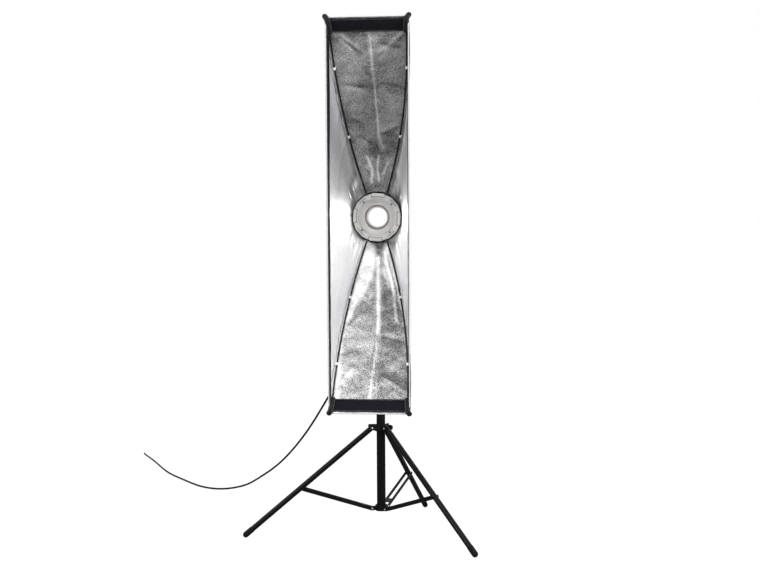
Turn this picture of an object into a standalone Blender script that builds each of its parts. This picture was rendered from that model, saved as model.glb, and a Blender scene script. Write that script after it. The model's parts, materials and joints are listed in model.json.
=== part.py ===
"""Strip softbox on a flash head, held by a folding three-section light stand.

Metres, +Z up. The softbox's open front faces -Y and dips a little. The stand's column is built on the
Z axis, and the whole set is moved at the end so that the origin is the centre of its bounding box on
the floor.
"""

import math

import bpy
from mathutils import Matrix, Vector

# Fits
GAP = 0.0003
RUNNING = 0.0004

# Stand: folding linkage, seen in the vertical plane of one leg
LEG_NAMES = ("left", "right", "back")
LEG_AZIMUTHS = tuple(math.radians(angle) for angle in (-166.7, -46.7, 73.3))
KNOB_AZIMUTH = math.radians(13.3)
CLAMP_AZIMUTH = math.radians(60.0)
LEG_LENGTH = 0.643
LEG_RADIUS = 0.0108
LEG_ANGLE = math.radians(51.0)
FOOT_RADIUS = 0.0118
FOOT_FLAT = 0.0006
HUB_PIVOT_R = 0.037
HUB_PIVOT_Z = FOOT_RADIUS - FOOT_FLAT + LEG_LENGTH * math.cos(LEG_ANGLE)
BASE_PIVOT_R = 0.039
BASE_PIVOT_Z = 0.097
STRUT_AT = 0.366
PIN_RADIUS = 0.003
EAR_BACK = 0.0175
EAR_OUT = 0.0120
EAR_LOW = -0.0090
EAR_HIGH = 0.0140
EAR_CUT = 0.0030
EAR_HALF = 0.0158
BAR_INNER = 0.0120
BAR_OUTER = 0.0145
KNOB_R = 0.0135
HUB_KNOB_R = 0.0100
BASE_COLLAR_R = 0.0240
BASE_COLLAR = (0.0865, 0.1100)

# Stand: telescopic column
LOWER_R = 0.0175
MIDDLE_R = 0.0145
TOP_R = 0.012
STUD_R = 0.008
WALL = 0.002
LOWER_TUBE = (0.0905, 0.835)
MIDDLE_TUBE = (0.200, 0.955)
TOP_TUBE = (0.350, 1.045)
STUD = (1.0453, 1.100)
LOWER_CLAMP_Z = 0.800
UPPER_CLAMP_Z = 0.922

# Bracket and head: the tilt axis runs along X through TILT_Z
TILT_Z = 1.164
HEAD_DIP = math.radians(4.92)
OPTIC_HEIGHT = 0.094
CASING_R = 0.062
CASING_BACK = -0.200
CASING_FRONT = 0.078
DIAL_X = 0.020
DIAL_Y = 0.030
DIAL_SHAFT_R = 0.0028
BUTTON_Y = 0.047
BUTTON_R = 0.0040

# Softbox, in the optic frame: X across, Y up, Z forward
FRONT_W = 0.2895
FRONT_H = 1.400
FRONT_Z = 0.488
RING_R = 0.094
RING_BORE = 0.0722
RING_BACK = 0.104
RING_FRONT = 0.129
REAR_R = 0.0965
REAR_Z = 0.112
ROD_ANGLE = math.radians(62.5)
ROD_R = 0.0032
ROD_INSET = 0.0085
ROD_SPAN = (-0.012, 0.962)
POCKET_SPAN = (0.900, 0.974)
ROD_BOWS = {-1: 0.021, 1: 0.030}
FABRIC = 0.0015
BOX_ROLL = math.radians(-0.45)
FACING_SIDE = 0.042
FACING_END = 0.026


# ---------------------------------------------------------------- scene helpers


def clear_scene():
    for obj in list(bpy.data.objects):
        bpy.data.objects.remove(obj, do_unlink=True)


def make_material(name, colour, roughness, metallic=0.0):
    material = bpy.data.materials.new(name)
    material.use_nodes = True
    shader = material.node_tree.nodes["Principled BSDF"]
    shader.inputs["Base Color"].default_value = (*colour, 1.0)
    shader.inputs["Roughness"].default_value = roughness
    shader.inputs["Metallic"].default_value = metallic
    return material


def place(obj, parent=None, location=(0, 0, 0), rotation=(0, 0, 0)):
    bpy.context.scene.collection.objects.link(obj)
    obj.parent = parent
    obj.location = location
    obj.rotation_euler = rotation
    return obj


def make_empty(name, parent=None, location=(0, 0, 0), rotation=(0, 0, 0)):
    return place(bpy.data.objects.new(name, None), parent, location, rotation)


def mesh_object(name, vertices, faces, material=None, smooth=False, **where):
    mesh = bpy.data.meshes.new(name)
    mesh.from_pydata([tuple(vertex) for vertex in vertices], [], faces)
    mesh.update()
    if smooth:
        mesh.shade_smooth()
        mesh.set_sharp_from_angle(angle=math.radians(35))
    if material:
        mesh.materials.append(material)
    return place(bpy.data.objects.new(name, mesh), **where)


def lathe(name, profile, steps, material=None, **where):
    """Turns (radius, height) points about Z. The profile runs anticlockwise with the radius to the right;
    it closes on itself, or starts and ends on the axis."""
    vertices = []
    rings = []
    for radius, height in profile:
        count = steps if radius > 1e-9 else 1
        rings.append(range(len(vertices), len(vertices) + count))
        for k in range(count):
            angle = 2 * math.pi * k / steps
            vertices.append((radius * math.cos(angle), radius * math.sin(angle), height))
    pairs = list(zip(rings, rings[1:]))
    if len(rings[0]) > 1:
        pairs.append((rings[-1], rings[0]))
    faces = []
    for low, high in pairs:
        for k in range(steps):
            after = (k + 1) % steps
            corners = [low[k % len(low)], low[after % len(low)]]
            corners += [high[after % len(high)], high[k % len(high)]]
            faces.append(list(dict.fromkeys(corners)))
    return mesh_object(name, vertices, faces, material, smooth=True, **where)


def prism(name, outline, low, high, material=None, smooth=False, **where):
    """Extrudes an anticlockwise XY outline from one height to another."""
    count = len(outline)
    vertices = [(x, y, low) for x, y in outline] + [(x, y, high) for x, y in outline]
    faces = [list(range(count))[::-1], list(range(count, 2 * count))]
    for k in range(count):
        after = (k + 1) % count
        faces.append([k, after, after + count, k + count])
    return mesh_object(name, vertices, faces, material, smooth, **where)


def block(name, low, high, material=None, **where):
    outline = [(low[0], low[1]), (high[0], low[1]), (high[0], high[1]), (low[0], high[1])]
    return prism(name, outline, low[2], high[2], material, **where)


def cylinder(name, radius, low, high, steps, material=None, **where):
    angles = [2 * math.pi * (k + 0.37) / steps for k in range(steps)]
    outline = [(radius * math.cos(angle), radius * math.sin(angle)) for angle in angles]
    return prism(name, outline, low, high, material, smooth=True, **where)


def tube(name, inner, outer, low, high, steps, material=None, **where):
    profile = [(inner, low), (outer, low), (outer, high), (inner, high)]
    return lathe(name, profile, steps, material, **where)


def swept(name, points, radius, material, cyclic=False, sides=2, **where):
    """A round cord or wire along a line of points."""
    curve = bpy.data.curves.new(name, "CURVE")
    curve.dimensions = "3D"
    curve.bevel_depth = radius
    curve.bevel_resolution = sides
    curve.use_fill_caps = not cyclic
    spline = curve.splines.new("POLY")
    spline.points.add(len(points) - 1)
    for point, target in zip(spline.points, points):
        point.co = (*target, 1.0)
    spline.use_cyclic_u = cyclic
    spline.use_smooth = True
    curve.materials.append(material)
    return place(bpy.data.objects.new(name, curve), **where)


def combine(target, other, operation):
    other.hide_render = True
    other.display_type = "WIRE"
    modifier = target.modifiers.new(operation.lower(), "BOOLEAN")
    modifier.operation = operation
    modifier.solver = "EXACT"
    modifier.object = other


def cut(target, *cutters):
    for cutter in cutters:
        combine(target, cutter, "DIFFERENCE")


def join(target, *others):
    for other in others:
        combine(target, other, "UNION")


def round_edges(obj, width, segments=1):
    modifier = obj.modifiers.new("bevel", "BEVEL")
    modifier.width = width
    modifier.segments = segments
    modifier.limit_method = "ANGLE"
    return obj


def star_outline(radius, lobes, depth, count):
    points = []
    for k in range(count):
        angle = 2 * math.pi * k / count
        reach = radius - depth * 0.5 * (1 - math.cos(lobes * angle))
        points.append((reach * math.cos(angle), reach * math.sin(angle)))
    return points


def slot_outline(half_width, reach):
    """From a square back at -reach to a round nose about the origin."""
    nose = [math.radians(angle) for angle in range(-90, 91, 30)]
    points = [(half_width * math.cos(angle), half_width * math.sin(angle)) for angle in nose]
    return [(-reach, -half_width)] + points + [(-reach, half_width)]


# ---------------------------------------------------------------- materials


def make_materials():
    return {
        "black_metal": make_material("black_metal", (0.025, 0.025, 0.027), 0.38, 0.6),
        "black_plastic": make_material("black_plastic", (0.02, 0.02, 0.021), 0.5),
        "steel": make_material("steel", (0.62, 0.62, 0.64), 0.3, 1.0),
        "brass": make_material("brass", (0.72, 0.55, 0.25), 0.3, 1.0),
        "casing_paint": make_material("casing_paint", (0.05, 0.05, 0.055), 0.45),
        "cast_grey": make_material("cast_grey", (0.58, 0.56, 0.53), 0.42, 0.4),
        "ceramic": make_material("ceramic", (0.85, 0.83, 0.78), 0.6),
        "frosted_glass": make_material("frosted_glass", (0.97, 0.96, 0.93), 0.35),
        "clear_glass": make_material("clear_glass", (0.9, 0.92, 0.95), 0.1),
        "board_green": make_material("board_green", (0.03, 0.16, 0.07), 0.5),
        "capacitor_blue": make_material("capacitor_blue", (0.04, 0.07, 0.2), 0.35),
        "switch_red": make_material("switch_red", (0.5, 0.03, 0.02), 0.4),
        "silver_lining": make_material("silver_lining", (0.62, 0.62, 0.61), 0.35, 0.5),
        "black_fabric": make_material("black_fabric", (0.018, 0.018, 0.02), 0.85),
        "grey_piping": make_material("grey_piping", (0.55, 0.54, 0.52), 0.75),
        "black_rod": make_material("black_rod", (0.02, 0.02, 0.02), 0.35),
        "cord_rubber": make_material("cord_rubber", (0.015, 0.015, 0.015), 0.6),
    }


# ---------------------------------------------------------------- stand


def radial(azimuth, parent, name):
    """A frame whose X axis points outwards at this azimuth."""
    return make_empty(name, parent, rotation=(0, 0, azimuth))


def clamp_knob(name, parent, azimuth, reach, height, mats, radius=KNOB_R):
    """A lobed hand knob whose screw points at the column. Its own Z axis is the screw, facing outwards."""
    frame = radial(azimuth, parent, name + "_azimuth")
    where = {
        "parent": frame,
        "location": (reach, 0, height),
        "rotation": (0, math.pi / 2, 0),
    }
    outline = star_outline(radius, 5, 0.22 * radius, 30)
    knob = prism(name, outline, 0.0, 0.011, mats["black_plastic"], **where)
    screw = cylinder(name + "_screw", PIN_RADIUS, -0.0155, 0.002, 12, **where)
    cap = cylinder(name + "_cap", 0.6 * radius, 0.009, 0.0135, 16, **where)
    join(knob, screw, cap)


def boss_for_knob(name, target, parent, azimuth, inner, outer, height):
    """A round boss with the hole that the knob's screw runs in."""
    frame = radial(azimuth, parent, name + "_azimuth")
    where = {"parent": frame, "location": (0, 0, height), "rotation": (0, math.pi / 2, 0)}
    join(target, cylinder(name, 0.0085, inner, outer, 16, **where))
    cut(target, cylinder(name + "_hole", PIN_RADIUS + RUNNING, inner - 0.006, outer + 0.01, 12, **where))


def stepped_clamp(name, parent, lower_r, upper_r, base, mats):
    """The collar on top of one tube that grips the next, thinner one."""
    shoulder = base + 0.0353
    profile = [
        (lower_r + GAP, base),
        (lower_r + 0.0062, base),
        (lower_r + 0.0075, base + 0.004),
        (lower_r + 0.0075, base + 0.046),
        (upper_r + 0.0060, base + 0.054),
        (upper_r + 0.0060, base + 0.062),
        (upper_r + GAP, base + 0.062),
        (upper_r + GAP, shoulder),
        (lower_r + GAP, shoulder),
    ]
    clamp = lathe(name, profile, 32, mats["black_plastic"], parent=parent)
    knob_z = base + 0.046
    reach = lower_r + 0.0155
    boss_for_knob(name + "_boss", clamp, parent, CLAMP_AZIMUTH, upper_r + 0.002, reach - GAP, knob_z)
    clamp_knob(name + "_knob", parent, CLAMP_AZIMUTH, reach, knob_z, mats)


def build_column(stand, mats):
    metal = mats["black_metal"]
    tube("lower_tube", LOWER_R - WALL, LOWER_R, *LOWER_TUBE, 32, metal, parent=stand)
    tube("middle_tube", MIDDLE_R - WALL, MIDDLE_R, *MIDDLE_TUBE, 32, metal, parent=stand)
    tube("top_tube", TOP_R - WALL, TOP_R, *TOP_TUBE, 32, metal, parent=stand)
    stepped_clamp("lower_clamp", stand, LOWER_R, MIDDLE_R, LOWER_CLAMP_Z, mats)
    stepped_clamp("upper_clamp", stand, MIDDLE_R, TOP_R, UPPER_CLAMP_Z, mats)
    low, high = STUD
    profile = [
        (0, low - 0.020),
        (TOP_R - WALL - GAP, low - 0.020),
        (TOP_R - WALL - GAP, low),
        (TOP_R, low),
        (TOP_R, low + 0.003),
        (STUD_R, low + 0.003),
        (STUD_R, high - 0.0015),
        (STUD_R - 0.0015, high),
        (0, high),
    ]
    lathe("spigot", profile, 24, mats["brass"], parent=stand)


def clevis_ears(name, parent):
    """Two square cheeks beside a leg and the pin between them."""
    outline = [(-EAR_BACK, EAR_LOW), (EAR_OUT - EAR_CUT, EAR_LOW), (EAR_OUT, EAR_LOW + EAR_CUT)]
    outline += [(EAR_OUT, EAR_HIGH - EAR_CUT), (EAR_OUT - EAR_CUT, EAR_HIGH), (-EAR_BACK, EAR_HIGH)]
    turned = {
        "parent": parent,
        "location": (HUB_PIVOT_R, 0, HUB_PIVOT_Z),
        "rotation": (math.pi / 2, 0, 0),
    }
    inner, outer = LEG_RADIUS + 0.0007, EAR_HALF
    cheeks = [
        prism(f"{name}_cheek_a", outline, inner, outer, **turned),
        prism(f"{name}_cheek_b", outline, -outer, -inner, **turned),
    ]
    pin = cylinder(name + "_pin", PIN_RADIUS, -outer - 0.001, outer + 0.001, 12, **turned)
    return cheeks + [pin]


def build_leg_hub(stand, mats):
    low, high = HUB_PIVOT_Z + EAR_LOW - 0.004, HUB_PIVOT_Z + EAR_HIGH
    hub = tube("leg_hub", LOWER_R + RUNNING, 0.0240, low, high, 32, mats["black_plastic"], parent=stand)
    for leg, azimuth in zip(LEG_NAMES, LEG_AZIMUTHS):
        frame = radial(azimuth, stand, f"hub_{leg}_azimuth")
        join(hub, *clevis_ears("hub_" + leg, frame))
    reach = 0.0345
    boss_for_knob("hub_boss", hub, stand, KNOB_AZIMUTH, 0.019, reach - GAP, HUB_PIVOT_Z)
    clamp_knob("leg_hub_knob", stand, KNOB_AZIMUTH, reach, HUB_PIVOT_Z, mats, HUB_KNOB_R)


def build_base_collar(stand, mats):
    low, high = BASE_COLLAR
    profile = [
        (0, low),
        (BASE_COLLAR_R - 0.0025, low),
        (BASE_COLLAR_R, low + 0.0025),
        (BASE_COLLAR_R, high),
        (LOWER_R + GAP, high),
        (LOWER_R + GAP, LOWER_TUBE[0] - GAP),
        (0, LOWER_TUBE[0] - GAP),
    ]
    collar = lathe("base_collar", profile, 32, mats["black_plastic"], parent=stand)
    for leg, azimuth in zip(LEG_NAMES, LEG_AZIMUTHS):
        frame = radial(azimuth, stand, f"base_{leg}_azimuth")
        turned = {
            "parent": frame,
            "location": (BASE_PIVOT_R, 0, BASE_PIVOT_Z),
            "rotation": (math.pi / 2, 0, 0),
        }
        lug = prism(f"base_{leg}_lug", slot_outline(0.008, 0.0180), -0.0060, 0.0060, **turned)
        pin = cylinder(f"base_{leg}_pin", PIN_RADIUS, -EAR_HALF, EAR_HALF, 12, **turned)
        join(collar, lug, pin)


def strut_geometry():
    """Length and angle from the vertical of the strut, whose outer end is on the leg."""
    out = HUB_PIVOT_R + STRUT_AT * math.sin(LEG_ANGLE) - BASE_PIVOT_R
    rise = HUB_PIVOT_Z - STRUT_AT * math.cos(LEG_ANGLE) - BASE_PIVOT_Z
    return math.hypot(out, rise), math.atan2(out, rise)


def build_leg(leg, azimuth, stand, mats):
    """A leg hangs along its own -Z from the hub's pin."""
    frame = radial(azimuth, stand, f"leg_{leg}_azimuth")
    pivot = make_empty(f"leg_{leg}_pivot", frame, (HUB_PIVOT_R, 0, HUB_PIVOT_Z), (0, -LEG_ANGLE, 0))
    end = -LEG_LENGTH + 0.0035
    inner = LEG_RADIUS - 0.0015
    body = tube(f"leg_{leg}", inner, LEG_RADIUS, end, 0.006, 24, mats["black_metal"], parent=pivot)
    turned = {"parent": pivot, "rotation": (math.pi / 2, 0, 0)}
    cut(body, cylinder(f"leg_{leg}_bore", PIN_RADIUS + RUNNING, -0.02, 0.02, 12, **turned))
    arc = [math.radians(angle) for angle in (0, -22.5, -45, -67.5)]
    nose = [(FOOT_RADIUS * math.cos(a), -LEG_LENGTH + FOOT_RADIUS * math.sin(a)) for a in arc]
    lip = -LEG_LENGTH + 0.034
    profile = [(0, -LEG_LENGTH - FOOT_RADIUS)] + nose[::-1]
    profile += [(FOOT_RADIUS, lip - 0.001), (FOOT_RADIUS - 0.0004, lip), (LEG_RADIUS + GAP, lip)]
    profile += [(LEG_RADIUS + GAP, end - GAP), (0, end - GAP)]
    foot = lathe(f"foot_{leg}", profile, 24, mats["black_plastic"], parent=pivot)
    reach = HUB_PIVOT_R + LEG_LENGTH * math.sin(LEG_ANGLE)
    cut(foot, block(f"floor_{leg}", (reach - 0.03, -0.03, -0.03), (reach + 0.03, 0.03, 0), parent=frame))


def build_strut(leg, azimuth, stand, mats):
    """Two flat bars, one each side of the leg, with a web near the column. It runs along its own +Z."""
    length, angle = strut_geometry()
    frame = radial(azimuth, stand, f"strut_{leg}_azimuth")
    pivot = make_empty(f"strut_{leg}_pivot", frame, (BASE_PIVOT_R, 0, BASE_PIVOT_Z), (0, angle, 0))
    half = 0.0073
    nose = [math.radians(a) for a in range(0, 181, 30)]
    top = [(half * math.cos(a), length + half * math.sin(a)) for a in nose]
    bottom = [(-half * math.cos(a), -half * math.sin(a)) for a in nose]
    turned = {"parent": pivot, "rotation": (math.pi / 2, 0, 0)}
    bars = prism(f"strut_{leg}", top + bottom, BAR_INNER, BAR_OUTER, mats["black_metal"], **turned)
    other = prism(f"strut_{leg}_bar", top + bottom, -BAR_OUTER, -BAR_INNER, **turned)
    web = block(f"strut_{leg}_web", (-0.0075, 0.022, -BAR_OUTER), (-0.0050, 0.052, BAR_OUTER), **turned)
    rivets = []
    for side in (1, -1):
        low, high = sorted((side * (BAR_OUTER - 0.0005), side * (BAR_OUTER + 0.0016)))
        where = {"parent": pivot, "location": (0, 0, length), "rotation": (math.pi / 2, 0, 0)}
        rivets.append(cylinder(f"strut_{leg}_rivet_{side}", 0.0045, low, high, 16, **where))
    join(bars, other, web, *rivets)
    cut(bars, cylinder(f"strut_{leg}_bore", PIN_RADIUS + RUNNING, -0.02, 0.02, 12, **turned))


def build_stand(stand, mats):
    build_column(stand, mats)
    build_leg_hub(stand, mats)
    build_base_collar(stand, mats)
    for leg, azimuth in zip(LEG_NAMES, LEG_AZIMUTHS):
        build_leg(leg, azimuth, stand, mats)
        build_strut(leg, azimuth, stand, mats)


# ---------------------------------------------------------------- bracket


def build_receiver(stand, mats):
    """Socket over the stud, with a fork for the head's lug. It turns about Z."""
    socket_low = STUD[0] + 0.0034
    profile = [
        (0, 1.1030),
        (STUD_R + RUNNING, 1.1030),
        (STUD_R + RUNNING, socket_low),
        (0.0175, socket_low),
        (0.0190, socket_low + 0.002),
        (0.0190, 1.1200),
        (0.0165, 1.1240),
        (0, 1.1240),
    ]
    receiver = lathe("receiver", profile, 32, mats["black_metal"], parent=stand)
    sideways = {"parent": stand, "location": (0, 0, TILT_Z), "rotation": (0, math.pi / 2, 0)}
    cheek = [(-x, y) for x, y in slot_outline(0.0150, 0.0460)][::-1]
    for side in (1, -1):
        low, high = sorted((side * 0.0085, side * 0.0135))
        join(receiver, prism(f"receiver_cheek_{side}", cheek, low, high, **sideways))
    cut(receiver, cylinder("receiver_bolt_hole", 0.0040 + RUNNING, -0.02, 0.02, 16, **sideways))
    knob_z = 1.0750
    boss_for_knob("receiver_boss", receiver, stand, math.pi / 2, 0.012, 0.0225, knob_z)
    clamp_knob("receiver_knob", stand, math.pi / 2, 0.0250, knob_z, mats)
    bolt_profile = [
        (0, -0.0190),
        (0.0085, -0.0190),
        (0.0090, -0.0180),
        (0.0090, -0.0140),
        (0.0040, -0.0140),
        (0.0040, 0.0180),
        (0, 0.0180),
    ]
    lathe("tilt_bolt", bolt_profile, 24, mats["steel"], **sideways)
    build_tilt_lever(stand, mats)


def build_tilt_lever(stand, mats):
    """The clamping lever on the bolt's free end. Its arm hangs along local +X."""
    where = {"parent": stand, "location": (0, 0, TILT_Z), "rotation": (0, math.pi / 2, 0)}
    profile = [
        (0, 0.0185),
        (0.0040 + RUNNING, 0.0185),
        (0.0040 + RUNNING, 0.0140),
        (0.0095, 0.0140),
        (0.0095, 0.0265),
        (0, 0.0265),
    ]
    lever = lathe("tilt_lever", profile, 24, mats["black_plastic"], **where)
    edge = [(0.004, 0.0060), (0.050, 0.0045), (0.056, 0.0030)]
    outline = [(x, -y) for x, y in edge] + edge[::-1]
    join(lever, prism("tilt_lever_arm", outline, 0.0205, 0.0262, **where))


def build_head_lug(head, mats):
    sideways = {"parent": head, "rotation": (0, math.pi / 2, 0)}
    outline = slot_outline(0.0140, 0.0300)
    lug = prism("head_lug", outline, -0.0082, 0.0082, mats["black_metal"], **sideways)
    saddle = block("head_saddle", (-0.014, -0.030, 0.0250), (0.014, 0.030, 0.0310), parent=head)
    join(lug, saddle)
    cut(lug, cylinder("head_lug_hole", 0.0040 + RUNNING, -0.02, 0.02, 16, **sideways))


# ---------------------------------------------------------------- flash head, in the optic frame


def build_casing(optic, mats):
    paint = mats["casing_paint"]
    tube("head_casing", CASING_R - 0.0025, CASING_R, CASING_BACK, CASING_FRONT, 40, paint, parent=optic)
    bezel = [
        (0.0475, CASING_FRONT + GAP),
        (0.0645, CASING_FRONT + GAP),
        (0.0645, 0.0915),
        (0.0600, 0.0915),
        (0.0600, 0.1000),
        (0.0475, 0.1000),
    ]
    lathe("front_bezel", bezel, 40, mats["cast_grey"], parent=optic)
    grip = [(0, 0.0635, -0.165), (0, 0.085, -0.160), (0, 0.093, -0.148)]
    grip += [(0, 0.093, -0.072), (0, 0.085, -0.060), (0, 0.0635, -0.055)]
    swept("carry_handle", grip, 0.006, mats["black_plastic"], sides=4, parent=optic)


def build_rear_panel(optic, mats):
    """Closes the casing's back and carries the fan's motor, the controls and the mains inlet."""
    outer = CASING_BACK - GAP
    panel = cylinder("rear_panel", 0.0615, outer - 0.006, outer, 40, mats["black_plastic"], parent=optic)
    join(panel, cylinder("fan_motor", 0.0115, outer - 0.001, outer + 0.018, 20, parent=optic))
    join(panel, cylinder("fan_shaft", 0.0022, outer + 0.016, outer + 0.038, 10, parent=optic))
    for column in range(3):
        for side in (1, -1):
            x = side * (0.036 + 0.0065 * column)
            half = 0.016 - 0.003 * column
            low, high = (x - 0.0016, -half, outer - 0.02), (x + 0.0016, half, outer + 0.02)
            cut(panel, block(f"vent_{column}_{side}", low, high, parent=optic))
    for name, x, y, radius in (
        ("power_dial", -DIAL_X, DIAL_Y, DIAL_SHAFT_R),
        ("modelling_dial", DIAL_X, DIAL_Y, DIAL_SHAFT_R),
        ("button", 0, BUTTON_Y, BUTTON_R),
    ):
        where = {"parent": optic, "location": (x, y, 0)}
        cut(panel, cylinder(name + "_hole", radius + RUNNING, outer - 0.02, outer + 0.02, 12, **where))
    for name, half_width, bottom, top in (
        ("switch", 0.0085, -0.0285, -0.0155),
        ("inlet", 0.0135, -0.0535, -0.0335),
    ):
        low, high = (-half_width, bottom, outer - 0.02), (half_width, top, outer + 0.02)
        cut(panel, block(name + "_hole", low, high, parent=optic))


def build_controls(optic, mats):
    face = CASING_BACK - GAP - 0.006
    backwards = (math.pi, 0, 0)
    for name, x in (("power_dial", -DIAL_X), ("modelling_dial", DIAL_X)):
        where = {"parent": optic, "location": (x, DIAL_Y, face), "rotation": backwards}
        outline = star_outline(0.0110, 12, 0.0009, 48)
        dial = prism(name, outline, 0.0004, 0.0090, mats["black_plastic"], **where)
        join(dial, cylinder(name + "_shaft", DIAL_SHAFT_R, -0.010, 0.001, 12, **where))
        pointer = block(name + "_pointer", (-0.0009, 0.0020, 0.0085), (0.0009, 0.0098, 0.0098), **where)
        join(dial, pointer)
    where = {"parent": optic, "location": (0, BUTTON_Y, face), "rotation": backwards}
    button = [(0, -0.012), (0.0058, -0.012), (0.0058, -0.0095), (BUTTON_R, -0.0095)]
    button += [(BUTTON_R, 0.0045), (0, 0.0052)]
    lathe("test_button", button, 16, mats["switch_red"], **where)
    side_view = Matrix(((0, 0, -1), (1, 0, 0), (0, -1, 0)))
    rocker_axis = {
        "parent": optic,
        "location": (0, -0.022, face + 0.001),
        "rotation": side_view.to_euler(),
    }
    prism("power_switch", rocker_outline(), -0.0078, 0.0078, mats["switch_red"], **rocker_axis)
    low, high = (-0.0075, 0.0625, 0.056), (0.0075, 0.0680, 0.070)
    slider = block("release_slider", low, high, mats["black_plastic"], parent=optic)
    round_edges(slider, 0.0012)


def rocker_outline():
    """Side view of the rocker: two faces that meet at a shallow valley, above a round belly."""
    angles = [math.radians(degrees) for degrees in (0, 45, 90, 135, 180)]
    belly = [(-0.0050 * math.cos(angle), -0.0050 * math.sin(angle)) for angle in angles]
    return belly + [(0.0058, 0.0035), (0.0058, 0.0052), (0, 0.0038), (-0.0058, 0.0068), (-0.0058, 0.0035)]


def build_lamp(optic, mats):
    plate = 0.040
    socket_profile = [
        (0, plate),
        (0.0590, plate),
        (0.0590, plate + 0.004),
        (0.0460, plate + 0.004),
        (0.0440, plate + 0.009),
        (0.0180, plate + 0.009),
        (0.0180, plate + 0.014),
        (0, plate + 0.014),
    ]
    lathe("lamp_socket", socket_profile, 32, mats["ceramic"], parent=optic)
    base = plate + 0.014 + GAP
    lamp = [(0, base), (0.0095, base), (0.0095, base + 0.010)]
    lamp += [(0.0130, base + 0.018), (0.0150, base + 0.027), (0.0125, base + 0.036), (0.0065, base + 0.042)]
    lathe("modelling_lamp", lamp + [(0, base + 0.043)], 20, mats["frosted_glass"], parent=optic)
    loop = [(0.031, 0, plate + 0.0096)]
    for k in range(21):
        angle = math.radians(8 + 344 * k / 20)
        loop.append((0.031 * math.cos(angle), 0.031 * math.sin(angle), 0.078))
    start, end = loop[1], loop[-1]
    loop[0] = (start[0], start[1], plate + 0.0096)
    loop.append((end[0], end[1], plate + 0.0096))
    swept("flash_tube", loop, 0.0030, mats["clear_glass"], sides=2, parent=optic)
    dome = [(0.0460, 0.0600), (0.0460, 0.0900)]
    inner = [(0.0435, 0.0600), (0.0435, 0.0895)]
    for degrees in (25, 50, 72):
        angle = math.radians(degrees)
        dome.append((0.0460 * math.cos(angle), 0.0900 + 0.0280 * math.sin(angle)))
        inner.append((0.0435 * math.cos(angle), 0.0895 + 0.0258 * math.sin(angle)))
    dome.append((0, 0.1180))
    inner.append((0, 0.1153))
    lathe("glass_dome", inner[::-1] + dome, 32, mats["frosted_glass"], parent=optic)


def build_electronics(optic, mats):
    where = {"parent": optic, "location": (0, 0.024, 0)}
    capacitor = [(0, -0.135), (0.0220, -0.135), (0.0230, -0.132)]
    capacitor += [(0.0230, -0.055), (0.0215, -0.050), (0, -0.050)]
    lathe("flash_capacitor", capacitor, 24, mats["capacitor_blue"], **where)
    low, high = (-0.046, -0.0220, -0.140), (0.046, -0.0204, 0.020)
    board = block("circuit_board", low, high, mats["board_green"], parent=optic)
    parts = (
        ((-0.038, -0.040, -0.120), (-0.014, -0.0215, -0.096)),
        ((0.008, -0.036, -0.125), (0.034, -0.0215, -0.100)),
        ((-0.030, -0.034, -0.070), (0.020, -0.0215, -0.050)),
        ((-0.010, -0.031, -0.035), (0.030, -0.0215, -0.015)),
    )
    for index, (low, high) in enumerate(parts):
        join(board, block(f"board_part_{index}", low, high, parent=optic))


def build_fan(optic, mats):
    """The rotor turns on the shaft in front of the motor."""
    middle = CASING_BACK + 0.0265
    where = {"parent": optic, "location": (0, 0, middle)}
    rotor = tube("fan_rotor", 0.0022 + RUNNING, 0.0120, -0.0070, 0.0070, 20, mats["black_plastic"], **where)
    blades = 5
    pitch = math.radians(43)
    for k in range(blades):
        blade = block(f"blade_{k}", (0.010, -0.0008, -0.0085), (0.0500, 0.0008, 0.0085), parent=rotor)
        turn = Matrix.Rotation(2 * math.pi * k / blades, 4, "Z")
        blade.matrix_local = turn @ Matrix.Rotation(pitch, 4, "X")
        join(rotor, blade)


# ---------------------------------------------------------------- cord


def cord_points():
    """From the connector's tail, down behind the softbox, then away over the floor."""
    knots = [
        (-0.003, 0.262, 1.188),
        (-0.010, 0.300, 1.150),
        (-0.034, 0.318, 1.030),
        (-0.080, 0.318, 0.860),
        (-0.150, 0.308, 0.690),
        (-0.236, 0.290, 0.535),
        (-0.365, 0.411, 0.345),
        (-0.508, 0.600, 0.190),
        (-0.643, 0.739, 0.088),
        (-0.739, 0.832, 0.034),
        (-0.853, 0.878, 0.009),
        (-0.979, 0.963, 0.0045),
        (-1.141, 1.180, 0.0045),
        (-1.281, 1.399, 0.0045),
        (-1.468, 1.775, 0.0045),
        (-1.590, 2.010, 0.0045),
        (-1.622, 2.073, 0.0060),
    ]
    points = [Vector(knot) for knot in knots]
    ends = [points[0] * 2 - points[1]] + points + [points[-1] * 2 - points[-2]]
    smooth = []
    for a, b, c, d in zip(ends, ends[1:], ends[2:], ends[3:]):
        for k in range(3):
            t = k / 3
            straight = 2 * b + (c - a) * t
            curved = (2 * a - 5 * b + 4 * c - d) * t**2 + (3 * b - a - 3 * c + d) * t**3
            smooth.append((straight + curved) / 2)
    return smooth + [points[-1]]


def build_cord(stand, optic, mats):
    rubber = mats["cord_rubber"]
    back = CASING_BACK - GAP - 0.006
    low, high = (-0.0125, -0.0525, back - 0.026), (0.0125, -0.0345, back + 0.020)
    shell = block("cord_connector", low, high, rubber, parent=optic)
    tail = lathe("connector_tail", [(0, 0), (0.0070, 0), (0.0045, 0.022), (0, 0.022)], 16)
    tail.parent = optic
    tail.location = (0, -0.0435, back - 0.024)
    tail.rotation_euler = (math.pi, 0, 0)
    join(shell, tail)
    swept("power_cord", cord_points(), 0.0035, rubber, sides=1, parent=stand)


# ---------------------------------------------------------------- softbox, in the optic frame


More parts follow.
